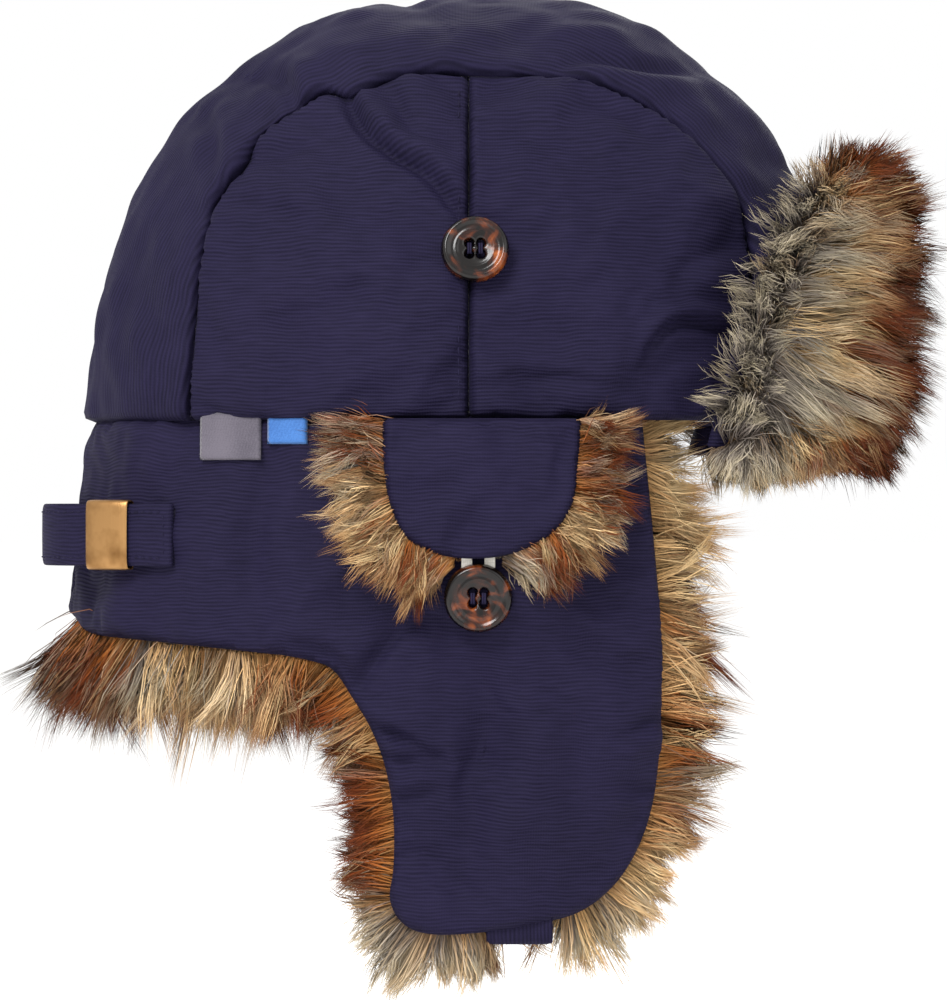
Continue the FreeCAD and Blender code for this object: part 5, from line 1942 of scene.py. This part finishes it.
@dataclass
class Buttons:
    """The four-hole buttons, with raised rims, and the thread that holds them."""

    finishes: Finishes
    radius: float = 10.8 * MM
    thickness: float = 3.6 * MM
    hole: float = 1.25 * MM
    hole_ring: float = 2.5 * MM

    def build(self) -> None:
        """Builds the crown and hatch buttons of both sides."""
        for side in Side:
            for place, tilt in (("crown", 14.0), ("hatch", -5.0)):
                self.build_button(side, place, tilt)

    def relief(self, u: Array, v: Array) -> Array:
        """The button's top: a raised rim, a fine ring inside it and a dished middle."""
        r = np.hypot(u, v)
        rim = 0.85 * MM * np.exp(-(((r - 9.2 * MM) / (1.0 * MM)) ** 2))
        ring = 0.3 * MM * np.exp(-(((r - 6.1 * MM) / (0.45 * MM)) ** 2))
        dish = -0.45 * MM * np.exp(-((r / (4.6 * MM)) ** 4))
        return rim + ring + dish

    def build_button(self, side: Side, place: str, tilt: float) -> None:
        """Builds one button and its thread."""
        node = f"{place}_button_{side.word}"
        low, high = (np.array(corner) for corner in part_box(node))
        centre = (low + high) / 2
        angle = math.radians(tilt)
        out = np.array((0.0, side.sign * math.cos(angle), math.sin(angle)))
        across = ALONG
        up = unit(np.cross(out, across)) * side.sign
        turn = np.linspace(0, 2 * math.pi, 120, endpoint=False)
        rim = np.stack((np.cos(turn), np.sin(turn)), -1) * self.radius
        small = np.stack((np.cos(turn[::6]), np.sin(turn[::6])), -1) * self.hole
        corners = np.radians((45, 135, 225, 315))
        spots = [(math.cos(t) * self.hole_ring, math.sin(t) * self.hole_ring) for t in corners]
        holes = tuple(small + np.array(spot) for spot in spots)
        pattern = Pattern.cut(rim, holes, 0.55 * MM)

        def at(u: Array, v: Array) -> Array:
            return centre + across * u[:, None] + up * v[:, None] + out * (self.thickness / 2)

        padding = Padding(self.thickness, 0.9 * MM, self.relief)
        piece = padding.sew(f"{node}_disc", pattern, at, lambda points: np.tile(out, (len(points), 1)))
        self.finishes.hand_over(piece, Material.BUTTON, (node,), "crown")
        self.build_thread(side, place, centre, across, up, out, spots)

    def build_thread(
        self,
        side: Side,
        place: str,
        centre: Array,
        across: Array,
        up: Array,
        out: Array,
        spots: list[tuple[float, float]],
    ) -> None:
        """Builds two stitches through the holes and the wound shank under the button.

        Args:
            side: The side.
            place: Which button it is.
            centre: The button's middle.
            across: The disc's first direction.
            up: The disc's second direction.
            out: The way the disc faces.
            spots: The holes' middles, along across and up.
        """
        top = centre + out * (self.thickness / 2 + 0.1 * MM)
        low = centre - out * (self.thickness / 2 + 3.0 * MM)
        points, faces = [], []

        rings, around = 7, 8
        turn = np.linspace(0, 2 * math.pi, around, endpoint=False)

        def rod(start: Array, end: Array, radius: float, bow: float) -> None:
            run = unit(end - start)
            aside = unit(np.cross(run, out + np.array((0.013, 0.007, 0.011))))
            rise = np.cross(aside, run)
            faces.extend(tube_faces(rings, around, around * len(points)))
            for share in np.linspace(0, 1, rings):
                middle = start + (end - start) * share + out * bow * math.sin(math.pi * share)
                circle = np.cos(turn)[:, None] * aside + np.sin(turn)[:, None] * rise
                points.append(middle + circle * radius)

        for first, second in ((0, 3), (1, 2)):
            for shift in (-0.35 * MM, 0.35 * MM):
                ends = [
                    top + across * (spots[at][0] + shift) + up * spots[at][1] - out * 0.9 * MM
                    for at in (first, second)
                ]
                rod(ends[0], ends[1], 0.34 * MM, 0.5 * MM)
        rod(low, centre - out * (self.thickness / 2 - 0.2 * MM), 1.4 * MM, 0.0)
        piece = mesh_piece(f"{place}_button_stitches_{side.word}", np.vstack(points), faces)
        self.finishes.hand_over(piece, Material.THREAD, (f"{place}_button_thread_{side.word}",), "crown")


# ---- straps and tabs


@dataclass
class Straps:
    """The adjuster strap with its keeper, the chin straps, their patches and the woven tabs."""

    finishes: Finishes
    wall: Wall
    end: tuple[float, float] = (-93.5 * MM, 67.5 * MM)
    turn: tuple[float, float] = (-123.0 * MM, 50.0 * MM)
    back_x: float = -137.5 * MM
    height: float = 20 * MM
    low_z: float = -48 * MM
    thickness: float = 2.6 * MM
    stitch: float = 2.8 * MM
    border: float = 2.7 * MM
    keeper_sheet: float = 0.9 * MM
    keeper_bulge: float = 0.9 * MM
    chin_x: float = 17.5 * MM
    chin_width: float = 21 * MM

    def plan(self) -> Array:
        """The strap's outer face in plan, from the right free end round the back to the left end."""
        start, corner = np.array(self.end), np.array(self.turn)
        along = unit(corner - start)
        out = np.array((along[1], -along[0]))
        if out[1] < 0:
            out = -out
        radius = (corner[0] - self.back_x) / (1 + out[0])
        centre = corner - out * radius
        first = math.atan2(out[1], out[0])
        turn = np.linspace(first, math.pi, 18)
        arc = centre + np.stack((np.cos(turn), np.sin(turn)), -1) * radius
        half = np.vstack((straight_line([tuple(start), tuple(corner)], 1.6 * MM), arc))
        middle = straight_line([tuple(arc[-1]), (self.back_x, 0.0)], 1.6 * MM)[1:]
        left = np.vstack((half, middle, ((self.back_x, 0.0),)))
        right = left * np.array((1.0, -1.0))
        return np.vstack((right, left[::-1][1:]))

    def build(self) -> None:
        """Builds every strap and tab."""
        self.build_adjuster()
        self.build_keeper()
        self.build_tabs()
        for side in Side:
            self.build_chin_strap(side)
        self.finishes.dress_node("strap_hook_patch", Material.HOOK_TAPE)

    def build_adjuster(self) -> None:
        """Builds the adjuster strap and its stitched border."""
        plan = self.plan()
        run = unit(np.gradient(plan, axis=0))
        out = np.stack((run[:, 1], -run[:, 0]), -1)
        out = np.where((out * plan).sum(1)[:, None] < 0, -out, out)
        out3 = np.hstack((out, np.zeros((len(out), 1))))
        middle_z = self.low_z + self.height / 2
        bulge = 0.8 * MM * np.sin(np.linspace(0, math.pi, len(plan)) * 9) * 0.3
        centre = np.hstack((plan - out * (self.thickness / 2 - 0.3 * MM) + out * bulge[:, None],
                            np.full((len(plan), 1), middle_z)))
        aside = np.tile(UP, (len(plan), 1))
        piece = tape("adjuster_strap_cloth", centre, aside, out3, self.height, self.thickness)
        self.finishes.hand_over(piece, Material.CLOTH, ("adjuster_strap",), "crown", 0.3)
        length = running(np.linalg.norm(np.diff(centre, axis=0), axis=1))
        inset = self.border
        places = np.arange(inset, length[-1] - inset, self.stitch)
        rows = []
        for level in (-1, 1):
            spots = np.stack([np.interp(places, length, centre[:, at]) for at in range(3)], -1)
            away = unit(np.stack([np.interp(places, length, out3[:, at]) for at in range(3)], -1))
            spots[:, 2] += level * (self.height / 2 - inset)
            rows.append((spots + away * (self.thickness / 2 - 0.08 * MM), away))
        tall = np.arange(-self.height / 2 + inset, self.height / 2 - inset + 0.1 * MM, self.stitch)
        for at in (0, -1):
            base = rows[0][0][at].copy()
            column = np.tile(base, (len(tall), 1))
            column[:, 2] = middle_z + tall
            rows.append((column, np.tile(rows[0][1][at], (len(tall), 1))))
        for number, (spots, away) in enumerate(rows):
            row = stitches(f"strap_stitches_{number}", spots, away)
            self.finishes.hand_over(row, Material.THREAD, body="crown")

    def build_keeper(self) -> None:
        """Builds the brass keeper: a rolled band round the strap, bulged towards its middle."""
        low, high = (np.array(corner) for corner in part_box("strap_keeper"))
        middle, box = (low + high) / 2, high - low
        along = unit(np.array(self.turn) - np.array(self.end))
        cos, sin = abs(along[0]), abs(along[1])
        spread = cos**2 - sin**2
        width = (box[0] * cos - box[1] * sin) / spread
        depth = (box[1] * cos - box[0] * sin) / spread
        run = np.array((along[0], -along[1], 0.0))
        out = np.array((along[1], along[0], 0.0))
        out = out if out[1] < 0 else -out
        turn = np.linspace(math.pi, -math.pi, 73)
        across = (depth - self.keeper_sheet) / 2 * np.sign(np.cos(turn)) * np.abs(np.cos(turn)) ** 0.45
        tall = (box[2] - self.keeper_sheet) / 2 * np.sign(np.sin(turn)) * np.abs(np.sin(turn)) ** 0.3
        centre = middle + across[:, None] * out + tall[:, None] * UP
        outward = unit(np.cross(np.gradient(centre, axis=0), run))
        outward = np.where(((centre - middle) * outward).sum(1)[:, None] < 0, -outward, outward)
        aside = np.tile(run, (len(centre), 1))
        piece = tape("strap_keeper_band", centre, aside, outward, width, self.keeper_sheet)
        for vertex in piece.data.vertices:
            place = np.array(vertex.co) - middle
            belly = 1 - (2 * place @ run / width) ** 2
            front = min(1.0, max(0.0, float(place @ out) / (depth / 2)))
            vertex.co = Vector(middle + place + out * self.keeper_bulge * belly * front)
        self.finishes.hand_over(piece, Material.BRASS, ("strap_keeper",), "strap_keeper")

    def build_tabs(self) -> None:
        """Builds the two folded woven tabs under the crown's edge."""
        for colour, slot in (("grey", Material.GREY_TAB), ("blue", Material.BLUE_TAB)):
            node = f"woven_label_{colour}"
            low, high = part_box(node)
            rear, front = low[0], high[0]
            top, foot = 1.0 * MM, low[2]
            corners = [(rear, top), (rear, foot), (front, foot), (front, top), (rear, top)]
            outline = straight_line(corners, 0.9 * MM)
            pattern = Pattern.cut(outline, step=0.9 * MM)

            def place(x: Array, z: Array) -> Array:
                length, width = self.wall.ovals(z)
                y = -(width + 2.2 * MM) * np.sqrt(np.clip(1 - (x / (length + 2.2 * MM)) ** 2, 0, 1))
                lift = 1.6 * MM * np.clip(-z / (14 * MM), 0, 1)
                return np.stack((x, y - lift, z), -1)

            curl = Ripples(90, 14 * MM, 30 * MM, 0.4 * MM)
            padding = Padding(1.3 * MM, 0.7 * MM, curl.at)
            piece = padding.sew(f"{node}_cloth", pattern, place, outwards)
            self.finishes.hand_over(piece, slot, (node,), "crown", 0.1)

    def build_chin_strap(self, side: Side) -> None:
        """Builds a chin strap: its root under the flap's tip and the free part folded up inside."""
        turn = np.linspace(0, math.pi / 2, 7)
        outer_y, inner_y = 86.5 * MM, 72.5 * MM
        low_z = -166.3 * MM
        path = [(outer_y, -158 * MM)]
        path += [
            (outer_y - 3 * MM * (1 - math.cos(t)), low_z + 3 * MM - 3 * MM * math.sin(t)) for t in turn
        ]
        path += [(inner_y, low_z)]
        root = self.ribbon(f"chin_strap_root_cloth_{side.word}", path, side, 1.8 * MM)
        node, body = f"chin_strap_root_{side.word}", f"ear_flap_{side.word}"
        self.finishes.hand_over(root, Material.CLOTH, (node,), body)
        node = f"chin_strap_{side.word}"
        low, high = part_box(node)
        middle_y = abs(low[1] + high[1]) / 2
        path = [(middle_y, low[2] - 0.2 * MM), (middle_y, high[2])]
        free = self.ribbon(f"chin_strap_cloth_{side.word}", path, side, 2.0 * MM)
        self.finishes.hand_over(free, Material.CLOTH, (node,), node)
        self.finishes.dress_node(f"chin_strap_patch_{side.word}", Material.HOOK_TAPE)

    def ribbon(
        self, name: str, path: list[tuple[float, float]], side: Side, thickness: float
    ) -> bpy.types.Object:
        """A chin strap's cloth along a path of (distance from the middle plane, z)."""
        line = np.vstack((straight_line(path, 1.5 * MM), (path[-1],)))
        centre = np.stack((np.full(len(line), self.chin_x), side.sign * line[:, 0], line[:, 1]), -1)
        run = unit(np.gradient(centre, axis=0))
        aside = np.tile(ALONG, (len(line), 1))
        return tape(name, centre, aside, unit(np.cross(run, aside)), self.chin_width, thickness)


# ---- studio


@dataclass
class Studio:
    """A pale floor, soft lights and the camera at the wearer's right."""

    distance: float = 1.838
    lens: float = 200.0
    aim: tuple[float, float] = (3.0 * MM, -26.8 * MM)

    def build(self) -> None:
        """Builds the floor, the lights, the world and the camera."""
        floor_z = CAD_BOX[0][2] - 98 * MM
        turn = np.linspace(0, 2 * math.pi, 96, endpoint=False)
        disc = np.stack((np.cos(turn) * 30, np.sin(turn) * 30, np.full(96, floor_z)), -1)
        floor = mesh_piece("studio_floor", disc, [tuple(range(96))])
        paper, tree, shader = blank("studio_paper")
        grain = add(tree, "TexNoise", {"Scale": 4.0, "Detail": 2.0})
        tree.links.new(
            ramp(tree, grain.outputs["Fac"], {0.3: "#f0efed", 0.7: "#f4f3f2"}), shader.inputs["Base Color"]
        )
        shader.inputs["Roughness"].default_value = 1.0
        shader.inputs["Specular IOR Level"].default_value = 0.0
        shader.inputs["Emission Color"].default_value = (1.0, 1.0, 1.0, 1.0)
        shader.inputs["Emission Strength"].default_value = 0.17
        floor.data.materials.append(paper)
        self.light("key", (-0.75, -1.35, 1.3), 38.0, 0.8)
        self.light("fill", (1.5, -1.2, 0.6), 8.0, 1.4)
        self.light("back", (0.3, 1.6, 0.9), 12.0, 1.0)
        world = bpy.data.worlds.new("studio_air")
        world.use_nodes = True
        world.node_tree.nodes["Background"].inputs["Color"].default_value = (1.0, 1.0, 1.0, 1.0)
        world.node_tree.nodes["Background"].inputs["Strength"].default_value = 1.0
        bpy.context.scene.world = world
        camera = bpy.data.cameras.new("camera")
        camera.lens = self.lens
        camera.sensor_width = 36.0
        camera.clip_end = 100.0
        holder = bpy.data.objects.new("camera", camera)
        holder.location = (self.aim[0], -self.distance, self.aim[1])
        holder.rotation_euler = (math.radians(90), 0.0, 0.0)
        bpy.context.scene.collection.objects.link(holder)
        bpy.context.scene.camera = holder
        bpy.context.scene.view_settings.view_transform = "Standard"

    def light(self, name: str, place: tuple[float, float, float], power: float, size: float) -> None:
        """Adds a soft square light that faces the hat."""
        data = bpy.data.lights.new(name, "AREA")
        data.energy = power
        data.size = size
        lamp = bpy.data.objects.new(name, data)
        lamp.location = place
        towards = Vector((0.0, 0.0, -0.02)) - Vector(place)
        lamp.rotation_euler = towards.to_track_quat("-Z", "Y").to_euler()
        bpy.context.scene.collection.objects.link(lamp)


def main() -> None:
    """Builds the hat, piece by piece, and the studio."""
    logging.basicConfig(level=logging.INFO, format="%(name)s %(message)s")
    finishes = Finishes()
    dome = Dome.from_frame()
    wall = Wall()
    Crown(finishes, dome).build()
    Skirts(finishes, wall).build()
    EarHatches(finishes, wall).build()
    Visor(finishes, dome).build()
    Buttons(finishes).build()
    Straps(finishes, wall).build()
    Studio().build()


if __name__ == "__main__":
    main()
